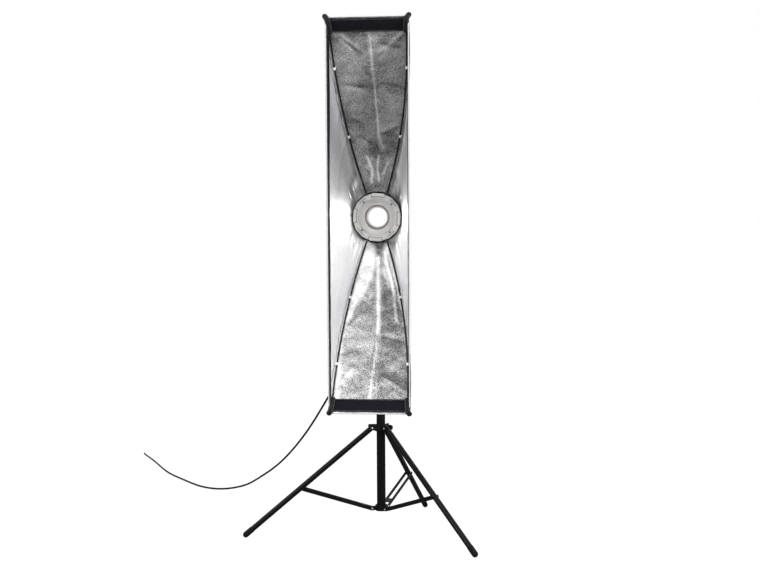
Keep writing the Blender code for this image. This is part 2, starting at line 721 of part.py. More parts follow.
def seam(t, side_x, side_y):
    """Corner seam: t 0 at the speed ring, 1 at the front. It bows outwards, as the sprung rod does,
    and further on the right, where the cloth hangs looser."""
    start = Vector((REAR_R * math.cos(ROD_ANGLE), REAR_R * math.sin(ROD_ANGLE), REAR_Z))
    end = Vector((FRONT_W / 2, FRONT_H / 2, FRONT_Z))
    point = start.lerp(end, t)
    point.x += 4 * ROD_BOWS[side_x] * t * (1 - t)
    return Vector((side_x * point.x, side_y * point.y, point.z))


def side_surface(side):
    """The wall on one side: s runs from the bottom seam to the top one."""

    def point(s, t):
        angle = (2 * s - 1) * ROD_ANGLE
        rear = Vector((side * REAR_R * math.cos(angle), REAR_R * math.sin(angle), REAR_Z))
        front = Vector((side * FRONT_W / 2, (s - 0.5) * FRONT_H, FRONT_Z))
        found = rear.lerp(front, t)
        found.x += side * 4 * ROD_BOWS[side] * t * (1 - t) * (2 * s - 1) ** 2
        return found

    return point


def end_surface(side):
    """The top or bottom wall: s runs from the left seam to the right one."""

    def point(s, t):
        angle = math.pi / 2 - (2 * s - 1) * (math.pi / 2 - ROD_ANGLE)
        rear = Vector((REAR_R * math.cos(angle), side * REAR_R * math.sin(angle), REAR_Z))
        front = Vector(((s - 0.5) * FRONT_W, side * FRONT_H / 2, FRONT_Z))
        found = rear.lerp(front, t)
        found.x += 4 * t * (1 - t) * (ROD_BOWS[1] * s - ROD_BOWS[-1] * (1 - s))
        return found

    return point


def outward(surface, s, t, axis):
    """Unit normal of a wall, pointing out of the box along this axis."""
    step = 1e-4
    along = surface(min(s + step, 1), t) - surface(max(s - step, 0), t)
    across = surface(s, min(t + step, 1)) - surface(s, max(t - step, 0))
    normal = along.cross(across).normalized()
    return normal if normal.dot(axis) > 0 else -normal


def wall_slab(name, surface, axis, lengths, t_range, offsets, inset, counts, material=None, **where):
    """A sheet between two offsets from a wall surface, stopping short of the seams by inset."""
    s_count, t_count = counts
    layers = []
    for offset in offsets:
        for j in range(t_count + 1):
            t = t_range[0] + (t_range[1] - t_range[0]) * j / t_count
            margin = inset / (lengths[0] + (lengths[1] - lengths[0]) * t)
            for i in range(s_count + 1):
                s = margin + (1 - 2 * margin) * i / s_count
                layers.append(surface(s, t) + outward(surface, s, t, axis) * offset)
    size = (s_count + 1) * (t_count + 1)

    def index(i, j, layer):
        return layer * size + j * (s_count + 1) + i

    faces = []
    for i in range(s_count):
        for j in range(t_count):
            square = [(i, j), (i + 1, j), (i + 1, j + 1), (i, j + 1)]
            for corners in (square[:3], [square[0], square[2], square[3]]):
                faces.append([index(a, b, 1) for a, b in corners])
                faces.append([index(a, b, 0) for a, b in corners[::-1]])
    rim = [(i, 0) for i in range(s_count)] + [(s_count, j) for j in range(t_count)]
    rim += [(i, t_count) for i in range(s_count, 0, -1)] + [(0, j) for j in range(t_count, 0, -1)]
    for (a, b), (c, d) in zip(rim, rim[1:] + rim[:1]):
        faces.append([index(a, b, 0), index(c, d, 0), index(c, d, 1), index(a, b, 1)])
    normal = outward(surface, 0.5, 0.5, axis)
    turn = (surface(0.6, 0.5) - surface(0.5, 0.5)).cross(surface(0.5, 0.6) - surface(0.5, 0.5))
    if turn.dot(normal) < 0:
        faces = [face[::-1] for face in faces]
    return mesh_object(name, layers, faces, material, **where)


WALLS = (
    ("side_panel_left", side_surface(-1), Vector((-1, 0, 0))),
    ("side_panel_right", side_surface(1), Vector((1, 0, 0))),
    ("end_panel_bottom", end_surface(-1), Vector((0, -1, 0))),
    ("end_panel_top", end_surface(1), Vector((0, 1, 0))),
)


def build_panels(box, mats):
    """Four walls of cloth, and the hook-and-loop band inside their front edge."""
    side_lengths = (2 * ROD_ANGLE * REAR_R, FRONT_H)
    end_lengths = ((math.pi - 2 * ROD_ANGLE) * REAR_R, FRONT_W)
    depth = FRONT_Z - REAR_Z
    strips = []
    for name, surface, axis in WALLS:
        is_side = name.startswith("side")
        lengths = side_lengths if is_side else end_lengths
        counts = (14, 8) if is_side else (6, 8)
        wall_slab(
            name, surface, axis, lengths, (0, 1), (0, FABRIC), 0.0007, counts,
            mats["silver_lining"], parent=box,
        )
        band = 1 - (FACING_SIDE if is_side else FACING_END) / depth
        strips.append(
            wall_slab(
                name + "_band", surface, axis, lengths, (band, 0.993), (-0.0022, -0.0007), 0.0008,
                (counts[0], 1), mats["black_fabric"], parent=box,
            )
        )
    facing = strips[0]
    facing.name = "front_facing"
    join(facing, *strips[2:], strips[1])


def build_binding(box, mats):
    """The piping sewn round the front edge."""
    radius = 0.0029
    x, y, z = FRONT_W / 2, FRONT_H / 2, FRONT_Z + radius + GAP
    corner = 0.006
    path = []
    for side_x, side_y, start in ((1, 1, 0), (-1, 1, 90), (-1, -1, 180), (1, -1, 270)):
        for degrees in (0, 30, 60, 90):
            angle = math.radians(start + degrees)
            centre = (side_x * (x - corner), side_y * (y - corner))
            path.append((centre[0] + corner * math.cos(angle), centre[1] + corner * math.sin(angle), z))
    swept("front_binding", path, radius, mats["grey_piping"], cyclic=True, sides=1, parent=box)


def rod_point(t, side_x, side_y):
    """The rod runs inside the corner seam, clear of both walls."""
    rise, run = FRONT_H / 2 - REAR_R * math.sin(ROD_ANGLE), FRONT_Z - REAR_Z
    slope = math.atan2(rise, run)
    inset = Vector((-side_x, -side_y * math.cos(slope), math.sin(slope))) * ROD_INSET
    return seam(t, side_x, side_y) + inset


def build_rod(name, side_x, side_y, box, mats):
    start, end = ROD_SPAN
    count = 10
    points = [rod_point(start + (end - start) * k / count, side_x, side_y) for k in range(count + 1)]
    swept("rod_" + name, points, ROD_R, mats["black_rod"], sides=1, parent=box)


def build_pocket(name, side_x, side_y, box, mats):
    """A stitched pouch in the front corner that holds the rod's end."""
    low, high = (rod_point(t, side_x, side_y) for t in POCKET_SPAN)
    along = (high - low).normalized()
    inwards = Vector((-side_x, -side_y * 0.5, 0.9)).normalized()
    inwards = (inwards - along * inwards.dot(along)).normalized()
    across = inwards.cross(along)
    frame = Matrix((across, inwards, along)).transposed().to_4x4()
    frame.translation = low
    length = (high - low).length
    edge = [(0.0028, -0.0050), (0.0070, 0.0005), (0.0053, 0.0054)]
    outline = edge + [(-x, y) for x, y in edge[::-1]]
    pocket = prism("corner_pocket_" + name, outline, 0, length, mats["black_fabric"], parent=box)
    hole = cylinder(f"pocket_{name}_hole", ROD_R + 0.0008, -0.02, length - 0.004, 12, parent=box)
    for obj in (pocket, hole):
        obj.matrix_local = frame
    cut(pocket, hole)


def build_speed_ring(box, mats):
    """Die-cast ring with a faceted rim, a socket for each rod and shallow recesses round its face."""
    profile = [
        (RING_BORE, RING_BACK),
        (RING_R - 0.004, RING_BACK),
        (RING_R, RING_BACK + 0.004),
        (RING_R, RING_FRONT - 0.003),
        (RING_R - 0.003, RING_FRONT),
        (RING_BORE, RING_FRONT),
    ]
    ring = lathe("speed_ring", profile, 32, mats["cast_grey"], parent=box)
    for side_x in (1, -1):
        for side_y in (1, -1):
            start, end = (rod_point(t, side_x, side_y) for t in (ROD_SPAN[0], 0.04))
            hole = cylinder(f"socket_{side_x}_{side_y}", ROD_R + 0.0007, -0.0015, 0.04, 12, parent=box)
            hole.rotation_euler = (end - start).to_track_quat("Z", "Y").to_euler()
            hole.location = start
            cut(ring, hole)
    for degrees in (0, 90, 180, 270):
        low, high = (0.0765, -0.014, RING_FRONT - 0.006), (0.0860, 0.014, RING_FRONT + 0.01)
        turned = {"parent": box, "rotation": (0, 0, math.radians(degrees))}
        cut(ring, block(f"ring_recess_{degrees}", low, high, **turned))
    lug_frame = make_empty("lock_frame", box, (0, 0, 0), (0, 0, math.radians(-45)))
    lug = block("lock_lug", (0.0735, -0.006, 0.0915), (0.0850, 0.006, RING_BACK + 0.003), parent=lug_frame)
    join(ring, lug)
    outwards = {"parent": lug_frame, "location": (0.0870, 0, 0.0970), "rotation": (0, math.pi / 2, 0)}
    cut(ring, cylinder("lock_hole", 0.0025 + RUNNING, -0.03, 0.02, 12, **outwards))
    star = star_outline(0.0070, 8, 0.0008, 32)
    screw = prism("ring_lock_screw", star, 0, 0.008, mats["steel"], **outwards)
    join(screw, cylinder("lock_shaft", 0.0025, -0.0195, 0.001, 12, **outwards))


def build_ring_insert(optic, mats):
    """Bayonet collar that locks on the head's bezel; the speed ring turns round it."""
    profile = [
        (0.0606, 0.0925),
        (0.0665, 0.0925),
        (0.0665, 0.1010),
        (RING_BORE - RUNNING, 0.1060),
        (RING_BORE - RUNNING, 0.1270),
        (0.0690, 0.1270),
        (0.0640, 0.1180),
        (0.0600, 0.1180),
        (0.0560, 0.1110),
        (0.0530, 0.1110),
        (0.0490, 0.1045),
        (0.0490, 0.1005),
        (0.0606, 0.1005),
    ]
    lathe("ring_insert", profile, 40, mats["cast_grey"], parent=optic)


def build_softbox(box, mats):
    build_panels(box, mats)
    build_binding(box, mats)
    build_speed_ring(box, mats)
    corners = (("top_left", -1, 1), ("top_right", 1, 1), ("bottom_left", -1, -1), ("bottom_right", 1, -1))
    for name, side_x, side_y in corners:
        build_rod(name, side_x, side_y, box, mats)
        build_pocket(name, side_x, side_y, box, mats)


# ---------------------------------------------------------------- the whole set


def centre_on_floor(root):
    """Moves the set so that the origin is the middle of its bounding box, on the floor."""
    bpy.context.view_layer.update()
    graph = bpy.context.evaluated_depsgraph_get()
    corners = []
    for obj in bpy.context.scene.objects:
        if obj.type in ("MESH", "CURVE") and not obj.hide_render:
            evaluated = obj.evaluated_get(graph)
            corners += [evaluated.matrix_world @ vertex.co for vertex in evaluated.to_mesh().vertices]
            evaluated.to_mesh_clear()
    lows = [min(corner[axis] for corner in corners) for axis in range(3)]
    highs = [max(corner[axis] for corner in corners) for axis in range(3)]
    middle = [(low + high) / 2 for low, high in zip(lows, highs)]
    root.location = (-middle[0], -middle[1], -lows[2])


def main():
    clear_scene()
    mats = make_materials()
    stand = make_empty("stand_axis")
    build_stand(stand, mats)
    build_receiver(stand, mats)
    head = make_empty("tilt_axis", stand, (0, 0, TILT_Z), (HEAD_DIP, 0, 0))
    optic = make_empty("optic_axis", head, (0, 0, OPTIC_HEIGHT), (math.pi / 2, 0, 0))
    build_head_lug(head, mats)
    build_casing(optic, mats)
    build_rear_panel(optic, mats)
    build_controls(optic, mats)
    build_lamp(optic, mats)
    build_electronics(optic, mats)
    build_fan(optic, mats)
    build_ring_insert(optic, mats)
    build_cord(stand, optic, mats)
    box = make_empty("softbox_axis", optic, rotation=(0, 0, BOX_ROLL))
    build_softbox(box, mats)
    centre_on_floor(stand)


main()
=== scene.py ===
import json
import math
import random

import bmesh
import bpy
import numpy as np
from mathutils import Matrix, Vector


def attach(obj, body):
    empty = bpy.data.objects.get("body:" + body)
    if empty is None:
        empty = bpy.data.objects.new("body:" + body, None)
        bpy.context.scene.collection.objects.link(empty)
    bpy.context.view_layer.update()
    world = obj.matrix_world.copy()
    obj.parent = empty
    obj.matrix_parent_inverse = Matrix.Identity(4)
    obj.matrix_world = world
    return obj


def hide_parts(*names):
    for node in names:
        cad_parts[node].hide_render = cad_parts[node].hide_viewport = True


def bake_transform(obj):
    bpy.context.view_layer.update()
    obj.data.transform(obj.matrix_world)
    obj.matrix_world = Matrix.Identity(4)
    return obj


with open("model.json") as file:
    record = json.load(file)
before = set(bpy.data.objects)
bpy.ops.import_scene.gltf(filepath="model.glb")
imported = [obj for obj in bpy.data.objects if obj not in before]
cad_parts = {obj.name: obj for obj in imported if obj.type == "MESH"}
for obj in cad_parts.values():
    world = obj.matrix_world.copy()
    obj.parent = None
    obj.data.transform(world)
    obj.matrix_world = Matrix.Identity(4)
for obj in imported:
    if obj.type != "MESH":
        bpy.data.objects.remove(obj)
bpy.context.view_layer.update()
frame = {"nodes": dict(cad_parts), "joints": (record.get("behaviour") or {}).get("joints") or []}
JOINTS = {joint["name"]: joint for joint in frame["joints"]}

# Softbox, in the optic frame: X across, Y up, Z forward
FRONT_W = 0.2895
FRONT_H = 1.400
FRONT_Z = 0.488
REAR_R = 0.0965
REAR_Z = 0.112
DEPTH = FRONT_Z - REAR_Z
ROD_ANGLE = math.radians(62.5)
ROD_BOWS = {-1: 0.021, 1: 0.030}
BOX_ROLL = math.radians(-0.45)
ROD_INSET = 0.0085
ROD_R = 0.0034
CLOTH = 0.0015
FACING_SIDE = 0.042
FACING_END = 0.026
RING_R = 0.0940
RING_BORE = 0.0722
RING_BACK = 0.104
RING_FRONT = 0.129
RING_TURN = -4
PAD_TURN = RING_TURN + 45
DOME_R = 0.0460
PANEL_BACK = -0.2063
CORD_EXIT_Y = -0.0435
CORD_R = 0.0044

# Light
LAMP_POWER = 1.6
LAMP_SPILL = 0.5
FLOOR_GLOW = 0.935


# ---------------------------------------------------------------- places, from the frame


def optic_frame():
    """The softbox's own axes: origin on its turning axis above the tilt bolt."""
    axis = Vector(JOINTS["softbox_turn"]["axis"]).normalized()
    tilt = Vector(JOINTS["head_tilt"]["pos_m"])
    on_axis = Vector(JOINTS["softbox_turn"]["pos_m"])
    across = Vector((1, 0, 0))
    matrix = Matrix((across, axis.cross(across), axis)).transposed().to_4x4()
    matrix.translation = on_axis + axis * (tilt - on_axis).dot(axis)
    return matrix


OPTIC = optic_frame()
BOX = OPTIC @ Matrix.Rotation(BOX_ROLL, 4, "Z")
PAN = Vector(JOINTS["head_pan"]["pos_m"])
COLUMN = Matrix.Translation((PAN.x, PAN.y, 0))


def placed(matrix, location=(0, 0, 0), rotation=(0, 0, 0)):
    """A frame at this location and XYZ rotation in degrees inside another frame."""
    turns = Matrix.Identity(4)
    for angle, axis in zip(rotation, "XYZ"):
        turns = Matrix.Rotation(math.radians(angle), 4, axis) @ turns
    return matrix @ Matrix.Translation(location) @ turns


# ---------------------------------------------------------------- mesh helpers

FINISHES = {}


def unit(vectors):
    return vectors / np.linalg.norm(vectors, axis=-1, keepdims=True)


def moved(points, matrix):
    turn = np.array(matrix, float)
    return np.asarray(points, float) @ turn[:3, :3].T + turn[:3, 3]


def shown(name, mesh, finishes, angle=35.0):
    """Puts a mesh in the scene, smooth except where its faces meet at more than this angle in degrees."""
    for finish in finishes.split():
        mesh.materials.append(FINISHES[finish])
    mesh.shade_smooth()
    mesh.set_sharp_from_angle(angle=math.radians(angle))
    obj = bpy.data.objects.new(name, mesh)
    bpy.context.scene.collection.objects.link(obj)
    return obj


def make_piece(name, vertices, faces, finishes, angle=35.0, tidy=True):
    """A piece from points in the row frame, with its faces turned outwards unless tidy is off."""
    mesh = bpy.data.meshes.new(name)
    mesh.from_pydata(np.asarray(vertices, float).tolist(), [], faces)
    if tidy:
        shape = bmesh.new()
        shape.from_mesh(mesh)
        bmesh.ops.recalc_face_normals(shape, faces=shape.faces)
        shape.to_mesh(mesh)
        shape.free()
    return shown(name, mesh, finishes, angle)


def settle(obj, body, slot, *nodes):
    """Rides on a body and stands for any CAD nodes named, which it hides. The slot is not used."""
    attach(obj, body)
    if nodes:
        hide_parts(*nodes)


def grid_faces(rows, columns, start=0):
    """Quads between rings of points stored one after another."""
    j, i = np.meshgrid(np.arange(rows - 1), np.arange(columns), indexing="ij")
    after = (i + 1) % columns
    quads = [j * columns + i, j * columns + after, (j + 1) * columns + after, (j + 1) * columns + i]
    return (np.stack(quads, -1).reshape(-1, 4) + start).tolist()


def loft(name, rings, finish, closed=False, angle=35.0):
    """Skins rings of points. The last ring joins the first, or both ends are capped."""
    rings = np.asarray(rings, float)
    rows, count = rings.shape[:2]
    faces = grid_faces(rows, count)
    last = (rows - 1) * count
    if closed:
        faces += [[last + i, last + (i + 1) % count, (i + 1) % count, i] for i in range(count)]
    else:
        faces += [list(range(count)), list(range(last, last + count))]
    return make_piece(name, rings.reshape(-1, 3), faces, finish, angle)


def box_loft(name, rows, finish, angle=35.0):
    """A loft from rows of points that run along it, in the box's own frame."""
    return loft(name, moved(np.stack(rows, 1), BOX), finish, angle=angle)


def rounded(outline, radius, closed=True):
    """Replaces each corner of an outline with a short arc."""
    points = [Vector(point) for point in outline]
    steps = 3
    result = []
    for k, corner in enumerate(points):
        if not closed and k in (0, len(points) - 1):
            result.append(corner)
            continue
        before = points[k - 1] - corner
        after = points[(k + 1) % len(points)] - corner
        reach = min(radius, before.length * 0.45, after.length * 0.45)
        low = corner + before.normalized() * reach
        high = corner + after.normalized() * reach
        for t in (j / steps for j in range(steps + 1)):
            result.append(low * (1 - t) ** 2 + corner * 2 * t * (1 - t) + high * t**2)
    return result


def lathe(name, profile, matrix, finish, steps=72, radius=0.0006, angle=35.0):
    """Turns (radius, height) points about the frame's Z axis, with every corner rounded. The profile closes
    on itself, or starts and ends on the axis."""
    closed = profile[0][0] > 0
    vertices = []
    rings = []
    for reach, height in rounded(profile, radius, closed):
        count = steps if reach > 1e-7 else 1
        rings.append(range(len(vertices), len(vertices) + count))
        vertices += [(x, y, height) for x, y in circle(reach, steps)[:count]]
    faces = []
    for low, high in zip(rings, rings[1:] + rings[:1] if closed else rings[1:]):
        for k in range(steps):
            after = (k + 1) % steps
            corners = [low[k % len(low)], low[after % len(low)]]
            corners += [high[after % len(high)], high[k % len(high)]]
            corners = list(dict.fromkeys(corners))
            if len(corners) > 2:
                faces.append(corners)
    return make_piece(name, moved(vertices, matrix), faces, finish, angle)


def prism(name, outline, low, high, matrix, finish, bevel=0.0006):
    """Extrudes an outline along the frame's Z axis, with rounded rims."""
    points = [Vector(point) for point in outline]
    count = len(points)
    vertices = [(x, y, z) for z in (low, high) for x, y in points]
    faces = [list(range(count))[::-1], list(range(count, 2 * count))]
    faces += [[k, (k + 1) % count, (k + 1) % count + count, k + count] for k in range(count)]
    mesh = bpy.data.meshes.new(name)
    mesh.from_pydata(vertices, [], faces)
    shape = bmesh.new()
    shape.from_mesh(mesh)
    if bevel:
        rims = [edge for edge in shape.edges if abs(edge.verts[0].co.z - edge.verts[1].co.z) < 1e-9]
        settings = {"segments": 2, "profile": 0.5, "affect": "EDGES", "clamp_overlap": True}
        bmesh.ops.bevel(shape, geom=rims, offset=bevel, **settings)
    bmesh.ops.recalc_face_normals(shape, faces=shape.faces)
    bmesh.ops.transform(shape, matrix=matrix, verts=shape.verts)
    shape.to_mesh(mesh)
    shape.free()
    return shown(name, mesh, finish)


def box_outline(width, height, centre=(0, 0)):
    corners = ((-1, -1), (1, -1), (1, 1), (-1, 1))
    return [(centre[0] + x * width / 2, centre[1] + y * height / 2) for x, y in corners]


def circle(radius, count, phase=0.0):
    angles = [2 * math.pi * k / count + phase for k in range(count)]
    return [(radius * math.cos(angle), radius * math.sin(angle)) for angle in angles]


def sweep(name, path, section, finish, closed=False, up=None, sizes=1.0):
    """Carries a closed outline along a path, square to a given up or with no twist. An outline point is
    (along the side, along the up normal)."""
    points = np.asarray(path, float)
    ahead = np.roll(points, -1, 0) - np.roll(points, 1, 0) if closed else np.gradient(points, axis=0)
    tangents = unit(ahead)
    if up is not None:
        sides = unit(np.cross(tangents, np.asarray(up, float)))
        normals = np.cross(sides, tangents)
    else:
        normals = [unit(np.cross(tangents[0], (0.31, 0.17, 0.93)))]
        for tangent in tangents[1:]:
            normals.append(unit(normals[-1] - tangent * normals[-1].dot(tangent)))
        normals = np.array(normals)
        sides = np.cross(tangents, normals)
    outline = np.array([tuple(point) for point in section], float)
    sizes = np.broadcast_to(sizes, len(points))[:, None, None]
    rings = points[:, None] + sizes * (outline[:, :1] * sides[:, None] + outline[:, 1:] * normals[:, None])
    return loft(name, rings, finish, closed)


def smooth_path(knots):
    """A Catmull-Rom curve through the knots."""
    steps = 12
    points = [Vector(knot) for knot in knots]
    ends = [points[0] * 2 - points[1]] + points + [points[-1] * 2 - points[-2]]
    curve = []
    for a, b, c, d in zip(ends, ends[1:], ends[2:], ends[3:]):
        for t in (k / steps for k in range(steps)):
            straight = 2 * b + (c - a) * t
            curved = (2 * a - 5 * b + 4 * c - d) * t**2 + (3 * b - a - 3 * c + d) * t**3
            curve.append((straight + curved) / 2)
    return curve + [points[-1]]


def along_path(points):
    """A path's length, and a function that gives the points at any distances along it."""
    lengths = np.concatenate([[0], np.cumsum(np.linalg.norm(np.diff(points, axis=0), axis=1))])
    return lengths[-1], lambda places: np.stack([np.interp(places, lengths, axis) for axis in points.T], -1)


def stitches(name, runs, finish, pitch=0.0042, length=0.0030, radius=0.00035):
    """Short raised threads along each (path, normals) run."""
    vertices = []
    faces = []
    shape = ((-0.5, -0.6), (-0.28, 0.5), (0.28, 0.5), (0.5, -0.6))
    ring = np.array(circle(radius, 5))
    for path, normals in runs:
        total, at = along_path(np.asarray(path, float))
        stations = np.arange(pitch / 2, total, pitch)
        tangents = unit(at(stations + pitch / 4) - at(stations - pitch / 4))
        places = np.linspace(0, 1, len(normals))
        ups = np.stack([np.interp(stations / total, places, axis) for axis in np.asarray(normals).T], -1)
        sides = unit(np.cross(tangents, ups))
        ups = np.cross(sides, tangents)
        for centre, tangent, up, side in zip(at(stations), tangents, ups, sides):
            start = len(vertices)
            for along, lift in shape:
                middle = centre + tangent * along * length + up * lift * radius
                vertices += list(middle + ring[:, :1] * side + ring[:, 1:] * up)
            faces += grid_faces(len(shape), len(ring), start)
    return make_piece(name, vertices, faces, finish, tidy=False)


def carve(obj, cutters, operation="DIFFERENCE"):
    """Cuts with, or joins to, each helper and removes it."""
    for cutter in cutters:
        modifier = obj.modifiers.new("carve", "BOOLEAN")
        modifier.operation = operation
        modifier.object = cutter
    bpy.context.view_layer.update()
    mesh = bpy.data.meshes.new_from_object(obj.evaluated_get(bpy.context.evaluated_depsgraph_get()))
    obj.modifiers.clear()
    obj.data = mesh
    mesh.shade_smooth()
    mesh.set_sharp_from_angle(angle=math.radians(35))
    for cutter in cutters:
        bpy.data.objects.remove(cutter, do_unlink=True)


# ---------------------------------------------------------------- material helpers


class Nodes:
    """A shader node tree being built."""

    def __init__(self, tree):
        self.tree = tree

    def feed(self, socket, value):
        """Links an input to another node's output, or sets it. A colour is three numbers."""
        if isinstance(value, bpy.types.NodeSocket):
            self.tree.links.new(value, socket)
        else:
            socket.default_value = (*value, 1.0) if socket.type == "RGBA" else value

    def add(self, kind, **values):
        """A node whose inputs or settings are given by name, with _ for a space in an input's name."""
        node = self.tree.nodes.new("ShaderNode" + kind)
        for key, value in values.items():
            label = key.replace("_", " ")
            if label in node.inputs:
                self.feed(node.inputs[label], value)
            else:
                setattr(node, key, value)
        return node

    def camera_share(self):
        """1 for what the camera sees directly, 0 for light that reaches other things."""
        return self.add("LightPath").outputs["Is Camera Ray"]

    def remap(self, value, low, high, to_low, to_high):
        node = self.add("MapRange", Value=value, From_Min=low, From_Max=high, To_Min=to_low, To_Max=to_high)
        return node.outputs["Result"]

    def math(self, operation, first, second):
        node = self.add("Math", operation=operation)
        for socket, value in zip(node.inputs, (first, second)):
            self.feed(socket, value)
        return node.outputs["Value"]

    def plus(self, first, second):
        return self.math("ADD", first, second)

    def times(self, first, second):
        return self.math("MULTIPLY", first, second)

    def mix(self, share, first, second):
        """A colour between two colours."""
        node = self.add("Mix", data_type="RGBA", Factor=share)
        colours = [socket for socket in node.inputs if socket.type == "RGBA"]
        for socket, value in zip(colours, (first, second)):
            self.feed(socket, value)
        return [socket for socket in node.outputs if socket.type == "RGBA"][0]


class Finish(Nodes):
    """A node material being built on the object's own coordinates."""

    def __init__(self, name):
        FINISHES[name] = material = bpy.data.materials.new(name)
        material.use_nodes = True
        super().__init__(material.node_tree)
        coordinates = self.add("TexCoord").outputs
        self.place, self.uv = coordinates["Object"], coordinates["UV"]

    def noise(self, scale, detail=3.0, rough=0.55, where=None, distortion=0.0):
        settings = {"Scale": scale, "Detail": detail, "Roughness": rough, "Distortion": distortion}
        return self.add("TexNoise", Vector=where or self.place, **settings).outputs["Fac"]

    def tone(self):
        """The painted light and shade stored on the lining's sheet at each point."""
        return self.add("Attribute", attribute_name="tone").outputs["Fac"]

    def bump(self, height, depth, strength=1.0, normal=None):
        node = self.add("Bump", Height=height, Distance=depth, Strength=strength)
        if normal is not None:
            self.feed(node.inputs["Normal"], normal)
        return node.outputs["Normal"]

    def soft_edges(self, radius):
        return self.add("Bevel", Radius=radius, samples=4).outputs["Normal"]

    def worn(self, radius):
        """1 on outer edges, 0 on flat stretches, broken up by noise."""
        dot = self.add("VectorMath", operation="DOT_PRODUCT")
        self.feed(dot.inputs[0], self.soft_edges(radius))
        self.feed(dot.inputs[1], self.add("NewGeometry").outputs["Normal"])
        edge = self.remap(dot.outputs["Value"], 0.99, 0.85, 0.0, 1.0)
        return self.times(edge, self.remap(self.noise(140.0), 0.35, 0.7, 0.0, 1.0))

    def weave(self, pitch, place):
        """Over-and-under threads: two sets of ribs that take turns in a checkerboard."""
        ribs = []
        for direction in "XY":
            ribs.append(self.add("TexWave", Vector=place, bands_direction=direction, Scale=0.31416 / pitch))
        over = self.add("TexChecker", Vector=place, Scale=1 / pitch).outputs["Fac"]
        warp, weft = (rib.outputs["Fac"] for rib in ribs)
        return self.plus(self.times(warp, over), self.times(weft, self.math("SUBTRACT", 1.0, over)))

    def set(self, **values):
        """Sets or links the surface's inputs."""
        for key, value in values.items():
            self.feed(self.tree.nodes["Principled BSDF"].inputs[key.replace("_", " ")], value)


def scaled(colour, factor):
    return tuple(min(1.0, channel * factor) for channel in colour)


def hard_finish(
    name, colour, rough, grain, wear=None, metallic=0.0, edge=0.0006, spread=0.25, shine=0.5, crevice_shade=0.0
):
    """Paint, metal or moulded plastic: mottled colour, uneven gloss, fine grain and softened, worn edges.
    The last argument is painted shade: how far the colour darkens in crevices, found by ambient occlusion."""
    finish = Finish(name)
    mottle = finish.noise(38.0, 5.0, 0.6)
    base = finish.mix(mottle, scaled(colour, 1 - spread), scaled(colour, 1 + spread))
    if crevice_shade:
        # Painted shade: the colour goes towards near-black where ambient occlusion finds a crevice.
        shade = finish.add("AmbientOcclusion", Distance=0.007, samples=8).outputs["AO"]
        base = finish.mix(finish.remap(shade, 0.35, 0.85, crevice_shade, 0.0), base, scaled(colour, 0.12))
    if wear:
        base = finish.mix(finish.worn(edge * 1.6), base, wear)
    gloss = finish.remap(finish.noise(75.0, 4.0, 0.6), 0.3, 0.7, rough - 0.07, rough + 0.09)
    scale, depth = grain
    normal = finish.bump(finish.noise(scale, 2.0, 0.5), depth, 0.8, finish.soft_edges(edge))
    finish.set(Base_Color=base, Roughness=gloss, Metallic=metallic, Normal=normal, Specular_IOR_Level=shine)


def turned_metal(name, colour, rough, stretch):
    """Bare metal with fine lines along one direction."""
    finish = Finish(name)
    place = finish.add("Mapping", Vector=finish.place, Scale=stretch).outputs["Vector"]
    lines = finish.noise(1.0, 3.0, 0.6, where=place)
    base = finish.mix(lines, scaled(colour, 0.82), scaled(colour, 1.08))
    gloss = finish.remap(lines, 0.3, 0.7, rough - 0.06, rough + 0.1)
    normal = finish.bump(lines, 0.00006, 0.5, finish.soft_edges(0.0005))
    finish.set(Base_Color=base, Roughness=gloss, Metallic=1.0, Normal=normal)


def cloth_finish(name, colour, rough, pitch, depth, sheen, spread=0.25, on_sheet=False):
    """Woven cloth with slight unevenness from handling. On the canopy the threads follow the sheet."""
    finish = Finish(name)
    weave = finish.weave(pitch, finish.uv if on_sheet else finish.place)
    mottle = finish.noise(22.0, 4.0, 0.6)
    base = finish.mix(mottle, scaled(colour, 1 - spread), scaled(colour, 1 + spread))
    base = finish.mix(finish.times(weave, 0.5), base, scaled(colour, 1.9))
    normal = finish.bump(finish.plus(weave, finish.times(finish.noise(260.0, 2.0), 0.6)), depth, 0.7)
    gloss = finish.remap(mottle, 0.3, 0.7, rough - 0.05, rough + 0.06)
    finish.set(Base_Color=base, Roughness=gloss, Normal=normal)
    finish.set(Sheen_Weight=sheen, Sheen_Roughness=0.45, Specular_IOR_Level=0.25)


def silver_side():
    """Metallised lining with a smooth, slightly crinkled face, coloured by the sheet's painted light and
    shade.
    """
    finish = Finish("silver_side")
    broad = finish.noise(9.0, 4.0, 0.55, distortion=0.6)
    crinkle = finish.noise(55.0, 4.0, 0.6, distortion=0.8)
    # The painted light and shade of the sheet set the colour between dark and bright.
    share = finish.plus(finish.tone(), finish.remap(crinkle, 0.3, 0.7, -0.07, 0.07))
    base = finish.mix(share, (0.13, 0.13, 0.14), (0.98, 0.98, 0.985))
    normal = finish.bump(finish.plus(finish.times(broad, 3.0), crinkle), 0.0014, 0.5)
    normal = finish.bump(finish.weave(0.0011, finish.uv), 0.0001, 0.35, normal)
    gloss = finish.remap(broad, 0.3, 0.7, 0.38, 0.54)
    finish.set(Base_Color=base, Roughness=gloss, Metallic=0.5, Normal=normal)


